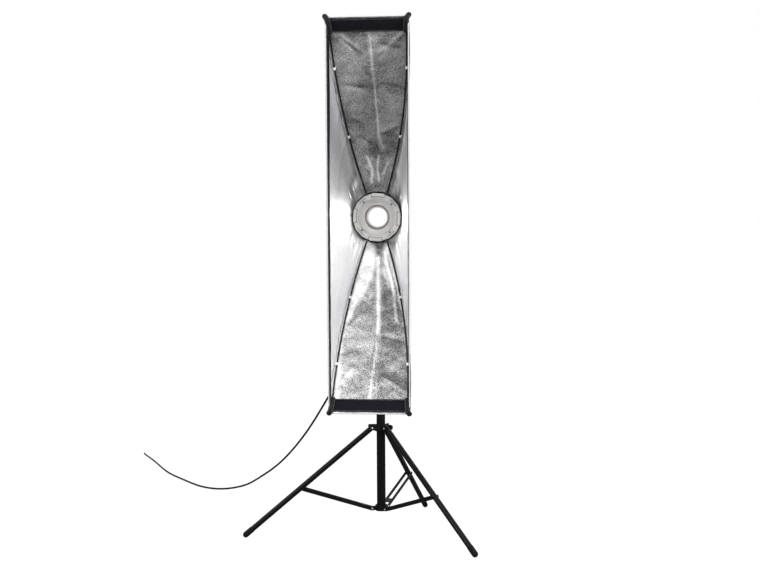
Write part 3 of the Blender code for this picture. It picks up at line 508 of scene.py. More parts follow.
def silver_end():
    """Metallised lining with a pebbled face; its colour carries the painted light and shade of the sheet.
    Its painted glints are strongest where that painted light is neither bright nor dark."""
    finish = Finish("silver_end")
    tone = finish.tone()
    settings = {"feature": "SMOOTH_F1", "Vector": finish.place, "Scale": 330.0, "Smoothness": 0.4}
    pebbles = finish.add("TexVoronoi", **settings).outputs["Distance"]
    grit = finish.noise(290.0, 2.0, 0.7)
    crinkle = finish.noise(34.0, 5.0, 0.62, distortion=1.2)
    # Painted glints in the colour, strongest where the painted light is middling.
    middling = finish.times(finish.plus(tone, 0.10), finish.math("SUBTRACT", 1.15, tone))
    painted_glints = finish.times(finish.remap(grit, 0.32, 0.68, -1.0, 1.0), finish.times(middling, 0.95))
    share = finish.plus(finish.plus(tone, painted_glints), finish.remap(crinkle, 0.3, 0.7, -0.08, 0.08))
    base = finish.mix(share, (0.035, 0.034, 0.036), (0.96, 0.955, 0.95))
    normal = finish.bump(finish.plus(crinkle, finish.noise(12.0, 3.0)), 0.0022, 0.6)
    normal = finish.bump(finish.plus(finish.times(pebbles, 1.1), grit), 0.0004, 0.6, normal)
    gloss = finish.remap(grit, 0.3, 0.7, 0.34, 0.50)
    finish.set(Base_Color=base, Roughness=gloss, Metallic=0.6, Normal=normal)


def glowing_glass():
    """Frosted dome lit from inside: brightest where it faces the eye, greyer towards its rim."""
    finish = Finish("glowing_dome")
    facing = finish.add("LayerWeight", Blend=0.5).outputs["Facing"]
    fade = finish.math("POWER", finish.remap(facing, 0.02, 0.34, 1.0, 0.0), 1.8)
    frost = finish.noise(420.0, 3.0, 0.6)
    power = finish.plus(finish.times(fade, LAMP_POWER), 0.02)
    power = finish.times(power, finish.remap(frost, 0.2, 0.8, 0.94, 1.06))
    gloss = finish.remap(frost, 0.3, 0.7, 0.30, 0.45)
    finish.set(Base_Color=(0.60, 0.60, 0.585), Roughness=gloss, Normal=finish.bump(frost, 0.0001, 0.4))
    finish.set(Emission_Color=(1.0, 0.985, 0.95), Emission_Strength=power)


def hook_band():
    """Brushed loop pile: black, soft and slightly fuzzy."""
    finish = Finish("hook_and_loop")
    pile = finish.noise(700.0, 3.0, 0.7)
    brushed = finish.noise(60.0, 3.0, 0.6, distortion=1.0)
    base = finish.mix(brushed, (0.004, 0.004, 0.006), (0.011, 0.011, 0.014))
    gloss = finish.remap(pile, 0.3, 0.7, 0.78, 0.95)
    normal = finish.bump(pile, 0.0006, 0.9)
    finish.set(Base_Color=base, Roughness=gloss, Normal=normal, Specular_IOR_Level=0.08)


def clear_glass():
    """Glass with a thin uneven film on it."""
    finish = Finish("clear_glass")
    film = finish.noise(90.0, 3.0)
    base = finish.mix(film, (0.86, 0.89, 0.92), (0.97, 0.98, 1.0))
    gloss = finish.remap(film, 0.3, 0.7, 0.04, 0.12)
    finish.set(Base_Color=base, Roughness=gloss, Normal=finish.bump(film, 0.00005, 0.3))
    finish.set(Transmission_Weight=0.9, IOR=1.47)


def circuit_green():
    """Solder mask over a maze of tracks."""
    finish = Finish("circuit_green")
    tracks = finish.add("TexBrick", Vector=finish.place, Scale=210.0).outputs["Fac"]
    base = finish.mix(tracks, (0.012, 0.11, 0.045), (0.03, 0.24, 0.10))
    gloss = finish.remap(finish.noise(120.0), 0.3, 0.7, 0.30, 0.45)
    finish.set(Base_Color=base, Roughness=gloss, Normal=finish.bump(tracks, 0.0001, 0.6))


def make_finishes():
    """Every finish. A hard one has its colour, roughness, grain scale and depth, and its worn edges' colour;
    a cloth has its colour, roughness, thread pitch, relief and sheen."""
    worn = (0.05, 0.05, 0.052)
    hard_finish("black_tube", (0.0042, 0.0042, 0.0048), 0.36, (420.0, 0.00008), worn, shine=0.12)
    worn = (0.025, 0.025, 0.026)
    hard_finish("black_plastic", (0.0045, 0.0045, 0.005), 0.50, (1300.0, 0.00018), worn, shine=0.12)
    rubber = {"spread": 0.35, "shine": 0.1}
    hard_finish("foot_rubber", (0.006, 0.006, 0.006), 0.72, (800.0, 0.0002), (0.025, 0.0245, 0.024), **rubber)
    hard_finish("cord_rubber", (0.005, 0.005, 0.005), 0.55, (500.0, 0.00018), **rubber)
    hard_finish("casing_paint", (0.018, 0.019, 0.021), 0.48, (620.0, 0.00025), (0.16, 0.16, 0.16), shine=0.4)
    # The cast and turned greys get painted shade in their crevices.
    cast = {"metallic": 0.15, "edge": 0.0007, "spread": 0.10, "crevice_shade": 0.85}
    hard_finish("cast_grey", (0.70, 0.69, 0.67), 0.42, (340.0, 0.00022), (0.80, 0.79, 0.77), **cast)
    turned = {"metallic": 0.2, "edge": 0.0004, "spread": 0.08, "crevice_shade": 0.5}
    hard_finish("turned_grey", (0.60, 0.585, 0.565), 0.34, (520.0, 0.0001), (0.8, 0.79, 0.77), **turned)
    hard_finish("ceramic", (0.78, 0.76, 0.70), 0.55, (500.0, 0.0002), (0.9, 0.89, 0.85), spread=0.08)
    hard_finish("switch_red", (0.46, 0.025, 0.018), 0.38, (900.0, 0.0001), (0.6, 0.12, 0.1), spread=0.12)
    hard_finish("capacitor_blue", (0.03, 0.06, 0.18), 0.32, (300.0, 0.0001), spread=0.15)
    hard_finish("rod_black", (0.006, 0.006, 0.007), 0.30, (260.0, 0.0001), shine=0.3)
    hard_finish("ferrule_grey", (0.10, 0.10, 0.10), 0.35, (300.0, 0.0001), (0.3, 0.3, 0.3), metallic=0.6)
    turned_metal("steel", (0.60, 0.60, 0.62), 0.28, (900.0, 900.0, 60.0))
    turned_metal("brass", (0.72, 0.55, 0.26), 0.26, (120.0, 120.0, 2600.0))
    cloth_finish("outer_cloth", (0.010, 0.010, 0.012), 0.74, 0.0009, 0.00022, 0.1, on_sheet=True)
    cloth_finish("webbing", (0.005, 0.005, 0.006), 0.70, 0.0013, 0.0003, 0.04)
    cloth_finish("piping_cloth", (0.50, 0.495, 0.49), 0.68, 0.0012, 0.0003, 0.2, 0.12)
    cloth_finish("white_tape", (0.84, 0.84, 0.84), 0.62, 0.0010, 0.0002, 0.2, 0.06)
    cloth_finish("thread_grey", (0.20, 0.20, 0.20), 0.6, 0.0005, 0.0001, 0.1)
    cloth_finish("seam_silver", (0.86, 0.86, 0.865), 0.42, 0.0010, 0.0001, 0.1, 0.08)
    for special in (silver_side, silver_end, glowing_glass, hook_band, clear_glass, circuit_green):
        special()


# ---------------------------------------------------------------- softbox surfaces, in the optic frame


def side_points(side, s, t):
    """The wall on one side: s runs from the bottom seam to the top one, t from the ring to the front."""
    angle = (2 * s - 1) * ROD_ANGLE
    rear = np.stack([side * REAR_R * np.cos(angle), REAR_R * np.sin(angle), 0 * s + REAR_Z], -1)
    front = np.stack([0 * s + side * FRONT_W / 2, (s - 0.5) * FRONT_H, 0 * s + FRONT_Z], -1)
    found = rear + (front - rear) * t[..., None]
    found[..., 0] += side * 4 * ROD_BOWS[side] * t * (1 - t) * (2 * s - 1) ** 2
    return found


def end_points(side, s, t):
    """The top or bottom wall: s runs from the left seam to the right one."""
    angle = math.pi / 2 - (2 * s - 1) * (math.pi / 2 - ROD_ANGLE)
    rear = np.stack([REAR_R * np.cos(angle), side * REAR_R * np.sin(angle), 0 * s + REAR_Z], -1)
    front = np.stack([(s - 0.5) * FRONT_W, 0 * s + side * FRONT_H / 2, 0 * s + FRONT_Z], -1)
    found = rear + (front - rear) * t[..., None]
    found[..., 0] += 4 * t * (1 - t) * (ROD_BOWS[1] * s - ROD_BOWS[-1] * (1 - s))
    return found


# Walls in order round the front opening: name, points, outward axis, runs backwards, cells
WALLS = (
    ("bottom", lambda s, t: end_points(-1, s, t), (0, -1, 0), False, 48),
    ("right", lambda s, t: side_points(1, s, t), (1, 0, 0), False, 160),
    ("top", lambda s, t: end_points(1, s, t), (0, 1, 0), True, 48),
    ("left", lambda s, t: side_points(-1, s, t), (-1, 0, 0), True, 160),
)
SIDES = ("left", "right")
DEPTH_CELLS = 104


def outwards(along, down, axis):
    """Unit normals of a wall from its two slopes, on the side that the axis points to."""
    normals = unit(np.cross(along, down))
    return np.where((normals @ np.array(axis, float))[..., None] > 0, normals, -normals)


def smooth_step(value):
    value = np.clip(value, 0, 1)
    return value * value * (3 - 2 * value)


def beside(x, y, start, end):
    """Where points lie by a line: how far along it, 0 to 1, how far to its side, and the line's length."""
    a, b = np.array(start, float), np.array(end, float)
    length = np.linalg.norm(b - a)
    along = ((x - a[0]) * (b[0] - a[0]) + (y - a[1]) * (b[1] - a[1])) / length**2
    away = ((x - a[0]) * (b[1] - a[1]) - (y - a[1]) * (b[0] - a[0])) / length
    return along, away, length


def fold(x, y, start, end, depth, width):
    """A crease between two points of a wall laid flat, fading out at its ends."""
    along, away, _ = beside(x, y, start, end)
    fade = smooth_step(along * 5) * smooth_step((1 - along) * 5)
    return depth * fade * np.exp(-np.sqrt((away / width) ** 2 + 0.03))


def ripples(x, y, seed, count, shortest, longest, depth):
    """Many faint folds in every direction, deeper where they are longer."""
    draw = random.Random(seed)
    total = 0 * x
    for _ in range(count):
        length = math.exp(draw.uniform(math.log(shortest), math.log(longest)))
        turn = draw.uniform(0, math.pi)
        bend = draw.uniform(-0.4, 0.4)
        phase = draw.uniform(0, 2 * math.pi)
        across = x * math.cos(turn) + y * math.sin(turn) + bend * np.sin(9 * (x - y) + phase) * length
        total = total + (1 - np.abs(np.sin(math.pi * across / length + phase))) ** 2 * length / longest
    return depth * (total / total.mean() - 1) / 2


# Creases of the two narrow walls, laid flat with y from the ring to the front: start, end, depth, width
FOLDS = {
    "top": (
        ((0.003, 0.060), (-0.004, 0.690), -0.0052, 0.0045),
        ((-0.128, 0.665), (-0.020, 0.575), -0.0042, 0.006),
        ((0.130, 0.655), (0.020, 0.560), -0.0036, 0.006),
        ((0.118, 0.585), (0.030, 0.610), 0.0034, 0.008),
        ((-0.110, 0.455), (-0.010, 0.435), 0.0036, 0.006),
        ((0.110, 0.440), (0.020, 0.455), 0.0024, 0.007),
        ((-0.090, 0.330), (-0.030, 0.300), -0.0022, 0.006),
        ((0.095, 0.300), (0.018, 0.255), -0.0040, 0.006),
        ((-0.060, 0.250), (-0.010, 0.200), 0.0034, 0.006),
        ((0.050, 0.160), (0.012, 0.090), -0.0030, 0.005),
        ((-0.040, 0.120), (-0.010, 0.060), -0.0028, 0.005),
    ),
    "bottom": (
        ((0.003, 0.060), (-0.004, 0.690), -0.0052, 0.0045),
        ((0.130, 0.630), (0.030, 0.560), -0.0026, 0.005),
        ((-0.120, 0.600), (-0.060, 0.520), -0.0022, 0.007),
        ((0.118, 0.430), (0.020, 0.400), 0.0028, 0.007),
        ((-0.105, 0.380), (-0.040, 0.300), -0.0020, 0.006),
        ((0.018, 0.080), (0.078, 0.300), -0.0034, 0.005),
        ((-0.020, 0.090), (-0.050, 0.240), -0.0018, 0.006),
    ),
}


def wall_creases(name, s, t, width):
    """How far each point of a wall stands proud of its stretched shape. Negative is into the box."""
    length = DEPTH if name in SIDES else math.hypot(FRONT_H / 2 - REAR_R, DEPTH)
    x, y = (s - 0.5) * width, t * length
    edge = smooth_step(s / 0.07) * smooth_step((1 - s) / 0.07)
    edge = edge * smooth_step(t / 0.07) * smooth_step((1 - t) / 0.13)
    if name in SIDES:
        depth = ripples(x, y, 11 if name == "left" else 12, 9, 0.10, 0.5, 0.0012)
        turn = s * math.pi
        gathers = np.sin(34 * turn + 2.5 * np.sin(9 * turn)) * (0.6 + 0.4 * np.sin(17 * turn + 1))
        depth = depth + 0.0022 * gathers * np.exp(-((t - 0.10) / 0.11) ** 2)
        for k, (low, high) in enumerate(((-0.36, -0.05), (0.05, 0.38), (-0.55, -0.30), (0.30, 0.60))):
            depth = depth + fold(x, y, (low, 0.30 - 0.02 * k), (high, 0.06 + 0.03 * k), -0.0025, 0.012)
        return depth * edge
    depth = ripples(x, y, 22 if name == "top" else 20, 22, 0.045, 0.24, 0.0048)
    for crease in FOLDS[name]:
        depth = depth + fold(x, y, *crease)
    return depth * edge


def patch(x, y, centre, size, turn=0.0):
    """A soft oval spot, 1 at its middle."""
    c, r = math.cos(math.radians(turn)), math.sin(math.radians(turn))
    u = ((x - centre[0]) * c + (y - centre[1]) * r) / size[0]
    v = ((y - centre[1]) * c - (x - centre[0]) * r) / size[1]
    return np.exp(-(u**2 + v**2) ** 1.5)


def streak(x, y, points, width):
    """A line through several points of a wall laid flat, 1 along its middle and tapering to its ends."""
    total = 0 * x
    last = len(points) - 2
    for k, (start, end) in enumerate(zip(points, points[1:])):
        along, away, length = beside(x, y, start, end)
        beyond = np.maximum(np.maximum(-along, along - 1), 0) * length
        spread = np.exp(-(away**2 + beyond**2) / width**2)
        if k == 0:
            spread = spread * smooth_step((along + 0.1) * 4)
        if k == last:
            spread = spread * smooth_step((1.1 - along) * 4)
        total = np.maximum(total, spread)
    return total


def painted_crumples(x, y, seed, count, strength):
    """Painted shading of a crumpled sheet: the wall broken into flat patches of different brightness."""
    draw = np.random.default_rng(seed)
    seeds = np.column_stack([draw.uniform(-0.15, 0.15, count), draw.uniform(0, 0.75, count)])
    values = draw.uniform(-1, 1, count)
    slopes = draw.uniform(-6, 6, (count, 2))
    warp = 0.012 * np.sin(38 * y + 3 * np.sin(21 * x)) + 0.006 * np.sin(87 * y + 55 * x)
    away = np.stack([(x + warp - a) ** 2 + (0.8 * (y - b)) ** 2 for a, b in seeds])
    share = np.exp(-(away - away.min(0)) / 0.0006)
    share /= share.sum(0)
    flat = np.stack([v + k[0] * (x - a) + k[1] * (y - b) for v, k, (a, b) in zip(values, slopes, seeds)])
    return strength * (share * flat).sum(0)


# Painted highlights and painted shade on the narrow walls, as spots and lines laid flat as the creases are:
# strength with centre, size and turn, and strength with width and points
PAINTED_SPOTS = {
    "top": (
        (-0.14, (-0.120, 0.680), (0.090, 0.050), 20),
        (-0.14, (0.085, 0.610), (0.060, 0.050), -20),
        (-0.12, (-0.020, 0.455), (0.070, 0.014), 4),
        (-0.12, (0.075, 0.450), (0.060, 0.018), -6),
        (-0.12, (0.010, 0.170), (0.050, 0.080), 0),
        (0.30, (0.022, 0.215), (0.012, 0.040), 15),
    ),
    "bottom": (
        (-0.20, (0.008, 0.050), (0.018, 0.040), 0),
        (-0.15, (0.090, 0.450), (0.020, 0.050), 10),
        (-0.14, (0.055, 0.300), (0.040, 0.130), 8),
        (0.22, (-0.110, 0.570), (0.035, 0.050), 30),
    ),
}
PAINTED_LINES = {
    "top": (
        (0.45, 0.0035, ((0.003, 0.665), (0.008, 0.50), (0.016, 0.24))),
        (0.40, 0.0060, ((-0.125, 0.67), (-0.06, 0.60))),
        (0.25, 0.0060, ((0.120, 0.67), (0.03, 0.56))),
        (0.50, 0.0040, ((0.012, 0.17), (0.004, 0.11), (0.010, 0.05))),
        (0.55, 0.0050, ((-0.034, 0.17), (-0.014, 0.10), (-0.020, 0.04))),
        (0.45, 0.0050, ((0.050, 0.15), (0.022, 0.08))),
    ),
    "bottom": (
        (-0.35, 0.0045, ((0.036, 0.07), (0.072, 0.20), (0.098, 0.36))),
        (0.55, 0.0070, ((0.005, 0.06), (0.006, 0.16), (0.013, 0.32), (0.013, 0.41))),
        (0.35, 0.0038, ((0.012, 0.44), (0.004, 0.56), (-0.005, 0.70))),
        (0.40, 0.0045, ((0.028, 0.05), (0.062, 0.20), (0.082, 0.36))),
        (0.15, 0.0050, ((0.03, 0.60), (0.13, 0.69))),
    ),
}
# Painted light and shade on the wide walls at each height above the ring
SIDE_HEIGHTS = (-0.01, 0.05, 0.11, 0.25, 0.33, 0.39, 0.50)
SIDE_PAINTED_LIGHT = (1.0, 0.74, 0.52, 0.37, 0.45, 0.60, 0.50)


def side_painted_light(name, height, x, y):
    """Painted light and shade on the wide walls: bright below, dull above, painted crumples and shade near
    the ring.
    """
    tone = np.interp(height, SIDE_HEIGHTS, SIDE_PAINTED_LIGHT)
    near = patch(x, y, (0.16, 0.05), (0.15, 0.13)) + patch(x, y, (-0.10, 0.04), (0.08, 0.11))
    # Painted shade with painted crumples, in two patches near the ring.
    tone = tone - 0.40 * near * (0.55 + painted_crumples(x, y, 5 if name == "left" else 6, 130, 1.3))
    reach, low = (0.075, 0.22) if name == "right" else (0.030, 0.10)
    # Painted shadow beside the ring, reaching further on the right wall.
    tone = tone - 0.75 * (1 - smooth_step(y / reach)) * smooth_step((low - height) / 0.08)
    return tone + painted_crumples(0.2 * x, 0.5 * y, 8, 26, 0.07)


def top_painted_light(x, y):
    """Painted light and shade on the top wall: crumpled grey, darker near the ring."""
    return 0.35 + painted_crumples(x, y, 33, 46, 0.14) - 0.12 * (1 - smooth_step((y - 0.06) / 0.20))


def bottom_painted_light(x, y):
    """Painted light and shade on the bottom wall: bright, a grey wedge widening forwards, a shadow under the
    ring.
    """
    half = 0.016 + 0.11 * smooth_step((y - 0.10) / 0.34)
    tone = 0.78 - 0.48 * smooth_step((half - np.abs(x - 0.010)) / 0.022 + 0.5) + painted_crumples(x, y, 41, 34, 0.08)
    tone = tone - 0.02 * smooth_step((y - 0.38) / 0.15)
    tone = tone - 0.16 * smooth_step((x - 0.014) / 0.02) * smooth_step((y - 0.14) / 0.10)
    return tone - 0.50 * (1 - smooth_step((y - 0.008) / 0.028)) * smooth_step((x + 0.035) / 0.02)


def wall_painted_light(name, s, x, y):
    """Painted light and shade on the lining, 0 to 1, over a wall laid flat: y runs from the ring to the
    front.
    """
    if name in SIDES:
        return side_painted_light(name, s - 0.5, x, y)
    tone = top_painted_light(x, y) if name == "top" else bottom_painted_light(x, y)
    for strength, *spot in PAINTED_SPOTS[name]:
        tone = tone + strength * patch(x, y, *spot)
    for strength, width, points in PAINTED_LINES[name]:
        tone = tone + strength * streak(x, y, points, width)
    return tone


def canopy_walls():
    """For each wall, grids from the ring forwards: points, normals, creases, painted light and flat
    coordinates.
    """
    walls = []
    for name, surface, axis, backwards, cells in WALLS:
        s, t = np.meshgrid(np.linspace(0, 1, cells + 1), np.linspace(0, 1, DEPTH_CELLS + 1))
        points = surface(s, t)
        normals = outwards(np.gradient(points, axis=1), np.gradient(points, axis=0), axis)
        width = np.linalg.norm(points[:, -1] - points[:, 0], axis=-1)[:, None]
        creases = wall_creases(name, s, t, width)
        flat = np.stack([(s - 0.5) * width, t * np.linalg.norm(points[-1, 0] - points[0, 0])], -1)
        lean = np.gradient(creases, axis=0) / np.gradient(flat[..., 1], axis=0)
        # Painted shading: where a crease slopes, the colour is lit or shaded.
        painted_lights = wall_painted_light(name, s, flat[..., 0], flat[..., 1]) + 0.30 * np.tanh(5.0 * lean)
        painted_lights = 0.07 + np.log1p(np.exp(np.minimum((painted_lights - 0.07) * 14, 60))) / 14
        grids = (points, normals, creases, painted_lights, flat)
        walls.append([grid[:, ::-1] if backwards else grid for grid in grids])
    for (_, before, *_), (_, after, *_) in zip(walls, walls[1:] + walls[:1]):
        before[:, -1] = after[:, 0] = unit(before[:, -1] + after[:, 0])
    return walls


def build_canopy():
    """One continuous sheet round all four sides: silver inside, black outside, closed round both rims."""
    walls = canopy_walls()
    *sheets, flats = zip(*walls)
    joined = [np.concatenate([grid[:, :-1] for grid in sheet], 1) for sheet in sheets]
    points, normals, creases, painted_lights = joined
    rows, columns = points.shape[:2]
    inner = points + normals * creases[..., None]
    outer = inner + normals * CLOTH
    vertices = np.concatenate([inner.reshape(-1, 3), outer.reshape(-1, 3)])
    layer = rows * columns
    inside = grid_faces(rows, columns)
    outside = [face[::-1] for face in grid_faces(rows, columns, layer)]
    rims = []
    last = (rows - 1) * columns
    for i in range(columns):
        after = (i + 1) % columns
        rims.append([after, i, layer + i, layer + after])
        rims.append([last + i, last + after, layer + last + after, layer + last + i])
    finishes = "silver_side silver_end outer_cloth"
    canopy = make_piece("canopy", moved(vertices, BOX), inside + outside + rims, finishes, 60, tidy=False)
    mesh = canopy.data
    # The painted light and shade go to the lining's finishes as a point attribute.
    values = np.tile(painted_lights.reshape(-1), 2).astype(np.float32)
    mesh.attributes.new("tone", "FLOAT", "POINT").data.foreach_set("value", values)
    linings = np.repeat([0 if name in SIDES else 1 for name, *_ in WALLS], [cells for *_, cells in WALLS])
    indices = np.concatenate([np.tile(linings, rows - 1), np.full(len(outside) + len(rims), 2)])
    mesh.polygons.foreach_set("material_index", indices.astype(np.int32))
    start = np.concatenate([flat[:-1, :-1] for flat in flats], 1).reshape(-1, 2)
    steps = np.concatenate([flat[1:, 1:] - flat[:-1, :-1] for flat in flats], 1).reshape(-1, 2)
    quads = np.stack([start + steps * corner for corner in ((0, 0), (1, 0), (1, 1), (0, 1))], 1)
    uv = np.concatenate([quads, quads[:, ::-1], np.zeros((len(rims), 4, 2))]).reshape(-1)
    mesh.uv_layers.new(name="UVMap").data.foreach_set("uv", uv.astype(np.float32))
    mesh.flip_normals()
    nodes = ("side_panel_left", "side_panel_right", "end_panel_top", "end_panel_bottom")
    settle(canopy, "softbox", "silver_lining", *nodes)


# ---------------------------------------------------------------- softbox trim


def wall_curve(surface, s_values, t_values, axis, offset):
    """Points on a wall at the given s and t, lifted outwards by an offset, and the normals there."""
    s, t = np.asarray(s_values, float), np.asarray(t_values, float)
    step = 1e-4
    along = surface(np.minimum(s + step, 1), t) - surface(np.maximum(s - step, 0), t)
    down = surface(s, np.minimum(t + step, 1)) - surface(s, np.maximum(t - step, 0))
    normals = outwards(along, down, axis)
    return surface(s, t) + normals * offset, normals


def box_run(points, normals):
    """A run of stitches from the box's own frame."""
    return moved(points, BOX), np.asarray(normals) @ np.array(BOX)[:3, :3].T


def build_facing():
    """Loop band inside the front edge: four lengths of tape, mitred into each other and stitched along both
    edges. The tape's section is given as (share of its width, millimetres off the cloth)."""
    runs = []
    front = 0.993
    section = ((1.0, 0.5), (1.0, 2.1), (0.94, 2.5), (0.5, 2.7), (0.06, 2.5), (0.0, 2.1), (0.0, 0.5))
    for name, surface, axis, _, cells in WALLS:
        s = np.linspace(0.0, 1.0, cells + 1)
        taper = 0.60 + 0.40 * smooth_step((s - 0.58) / 0.30)
        band = (FACING_SIDE * taper if name in SIDES else FACING_END) / DEPTH
        inset = 0.0024 / (FRONT_H if name in SIDES else FRONT_W)
        rows = []
        for share, lift in section:
            wave = 0.00025 * np.sin(61 * s + 5 * share) + 0.0002 * np.sin(143 * s)
            t = front - band * share + 0 * s
            points, normals = wall_curve(surface, inset + (1 - 2 * inset) * s, t, axis, 0.0)
            rows.append(points - normals * (lift * 0.001 + wave[:, None]))
        piece = box_loft(f"loop_band_{name}", rows, "hook_and_loop")
        settle(piece, "softbox", "black_fabric", *(["front_facing"] if name == "bottom" else []))
        for share in (0.07, 0.93):
            t = front - band * share + 0 * s
            points, normals = wall_curve(surface, 0.004 + 0.992 * s, t, axis, -0.0028)
            runs.append(box_run(points, -normals))
    settle(stitches("facing_stitches", runs, "thread_grey"), "softbox", "black_fabric")


def front_loop(outset, corner, count):
    """Closed path round the front opening with rounded corners."""
    x, y = FRONT_W / 2 + outset, FRONT_H / 2 + outset
    path = []
    for side_x, side_y, start in ((1, 1, 0), (-1, 1, 90), (-1, -1, 180), (1, -1, 270)):
        centre = (side_x * (x - corner), side_y * (y - corner))
        for angle in (math.radians(start + 15 * k) for k in range(7)):
            path.append((centre[0] + corner * math.cos(angle), centre[1] + corner * math.sin(angle)))
    total, at = along_path(np.array(path + path[:1]))
    return at(np.linspace(0, total, count, endpoint=False))


def build_piping():
    """Corded edge with its sewn flange, all round the front."""
    loop = front_loop(0.0006, 0.006, 640)
    shares = np.arange(len(loop)) / len(loop)
    wobble = 0.00022 * np.sin(2 * math.pi * 23 * shares) + 0.00015 * np.sin(2 * math.pi * 57 * shares)
    path = np.column_stack([loop, FRONT_Z + 0.0028 + wobble])
    bead = [(0.0020 * math.cos(a), 0.0020 * math.sin(a)) for a in np.radians(np.arange(-50, 231, 20))]
    flange = [(-0.0015, -0.0070), (0.0015, -0.0070)]
    forward = BOX.col[2][:3]
    piece = sweep("front_piping", moved(path, BOX), bead + flange, "piping_cloth", closed=True, up=forward)
    settle(piece, "softbox", "grey_piping", "front_binding")
    line = front_loop(0.0036, 0.008, 640)
    path = np.column_stack([line, np.full(len(line), FRONT_Z - 0.0030)])
    away = path - path * (0, 0.93, 1)
    runs = [box_run(path, unit(away))]
    settle(stitches("piping_stitches", runs, "thread_grey", 0.0038, 0.0028), "softbox", "grey_piping")


def seam_points(t, side_x, side_y):
    return end_points(side_y, np.full_like(t, 0.5 + 0.5 * side_x), t)


def rod_points(t, side_x, side_y):
    """The rod runs inside the corner seam, clear of both walls."""
    slope = math.atan2(FRONT_H / 2 - REAR_R * math.sin(ROD_ANGLE), DEPTH)
    inset = np.array((-side_x, -side_y * math.cos(slope), math.sin(slope))) * ROD_INSET
    return seam_points(np.asarray(t, float), side_x, side_y) + inset


CORNERS = (("top_left", -1, 1), ("top_right", 1, 1), ("bottom_left", -1, -1), ("bottom_right", 1, -1))


def build_rod(name, *corner):
    """Sprung rod with a ferrule at the ring."""
    path = moved(rod_points(np.linspace(-0.012, 0.965, 70), *corner), BOX)
    rod = sweep(f"sprung_rod_{name}", path, circle(ROD_R, 20), "rod_black")
    settle(rod, "softbox", "black_rod", "rod_" + name)
    path = moved(rod_points(np.linspace(0.001, 0.024, 8), *corner), BOX)
    sizes = (0.9, 1.0, 1.0, 1.0, 1.0, 1.0, 1.0, 0.86)
    ferrule = sweep(f"rod_ferrule_{name}", path, circle(ROD_R + 0.0007, 24), "ferrule_grey", sizes=sizes)
    settle(ferrule, "softbox", "steel")


def build_tie(name, middle, side_x, side_y):
    """A tape looped round the rod, with its two tails sewn into the seam."""
    centre, ahead = rod_points((middle, middle + 0.01), side_x, side_y)
    along = Vector(ahead - centre).normalized()
    to_seam = Vector(seam_points(np.array([middle]), side_x, side_y)[0] - centre)
    to_seam = (to_seam - along * to_seam.dot(along)).normalized()
    across = along.cross(to_seam)
    reach = ROD_R + 0.0008
    angles = np.radians(np.arange(-125, 126, 12.5))
    loop = [Vector(centre) - to_seam * reach * math.cos(a) + across * reach * math.sin(a) for a in angles]
    tail = to_seam * 0.0105
    path = [loop[0] + tail - across * 0.0006] + loop + [loop[-1] + tail + across * 0.0006]
    section = rounded(box_outline(0.0007, 0.0105), 0.0003)
    up = np.array(BOX)[:3, :3] @ np.array(along)
    settle(sweep(name, moved(path, BOX), section, "white_tape", up=up), "softbox", "grey_piping")


def build_seam_allowance(name, side_x, side_y):
    """The two turned-in edges of silver cloth, sewn together and standing up along the corner. Their section
    is given as (lift towards the rod, side of the fold, lean)."""
    t = np.linspace(0.05, 0.93, 150)
    seam = seam_points(t, side_x, side_y)
    inwards = rod_points(t, side_x, side_y) - seam
    lean = unit(np.cross(inwards, np.gradient(seam, axis=0))) * -1.35 * side_x * side_y
    wave = (0.0010 * np.sin(46 * t) + 0.0007 * np.sin(97 * t + 1))[:, None]
    section = (
        (0.12, 1, 0.2), (0.5, 1, 1.6), (1.05, 1, 3.6), (1.25, 0.5, 4.4), (1.05, -0.2, 4.6), (0.5, -0.2, 2.6),
        (0.12, -0.2, 1.2),
    )
    rows = []
    for lift, side, slant in section:
        sideways = 0.0009 * slant + 0.0045 * lift + 0.0004 * side + wave * lift
        rows.append(seam + inwards * lift + lean * sideways)
    settle(box_loft(f"seam_allowance_{name}", rows, "seam_silver"), "softbox", "silver_lining")


def build_pocket(name, side_x, side_y):
    """Stitched pouch that holds the rod's end: it starts inside the corner and passes over the piped edge."""
    start, inside = rod_points((0.922, 0.952), side_x, side_y)
    x, y = side_x * FRONT_W / 2, side_y * FRONT_H / 2
    over = (x - side_x * 0.006, y - side_y * 0.011, FRONT_Z + 0.0085)
    out_x, out_y = (0.0070, 0.0100) if side_y > 0 else (0.0042, 0.0062)
    tip = (x + side_x * out_x, y + side_y * out_y, FRONT_Z + 0.0050)
    path = smooth_path((start, inside, over, tip))
    rings = []
    lines = {-1: [], 1: []}
    facings = []
    for k, middle in enumerate(path):
        share = k / (len(path) - 1)
        ahead = (path[min(k + 1, len(path) - 1)] - path[max(k - 1, 0)]).normalized()
        facing = Vector((-side_x * 0.30, -side_y * 0.25, 1.0))
        facing = (facing - ahead * facing.dot(ahead)).normalized()
        across = facing.cross(ahead)
        half = 0.0110 - 0.0014 * share
        if share > 0.86:
            half *= math.sqrt(max(0.0, 1 - ((share - 0.86) / 0.14) ** 2)) * 0.7 + 0.3
        thick = 0.0054 - 0.0020 * share
        pucker = 1 + 0.05 * math.sin(37 * share)
        ring = []
        for c, r in circle(1, 28):
            u = math.copysign(abs(c) ** 0.8, c) * half
            v = math.copysign(abs(r) ** 0.9, r) * thick * pucker
            ring.append(middle + across * u + facing * v)
        rings.append(moved(ring, BOX))
        facings.append(facing)
        for side, line in lines.items():
            line.append(middle + across * side * half * 0.72 + facing * (thick * 0.80))
    pocket = loft(f"rod_pocket_{name}", rings, "webbing", angle=50)
    settle(pocket, "softbox", "black_fabric", "corner_pocket_" + name)
    runs = [box_run(line[1:-5], facings[1:-5]) for line in lines.values()]
    thread = stitches(f"pocket_stitches_{name}", runs, "thread_grey", 0.0036, 0.0026)
    settle(thread, "softbox", "black_fabric")


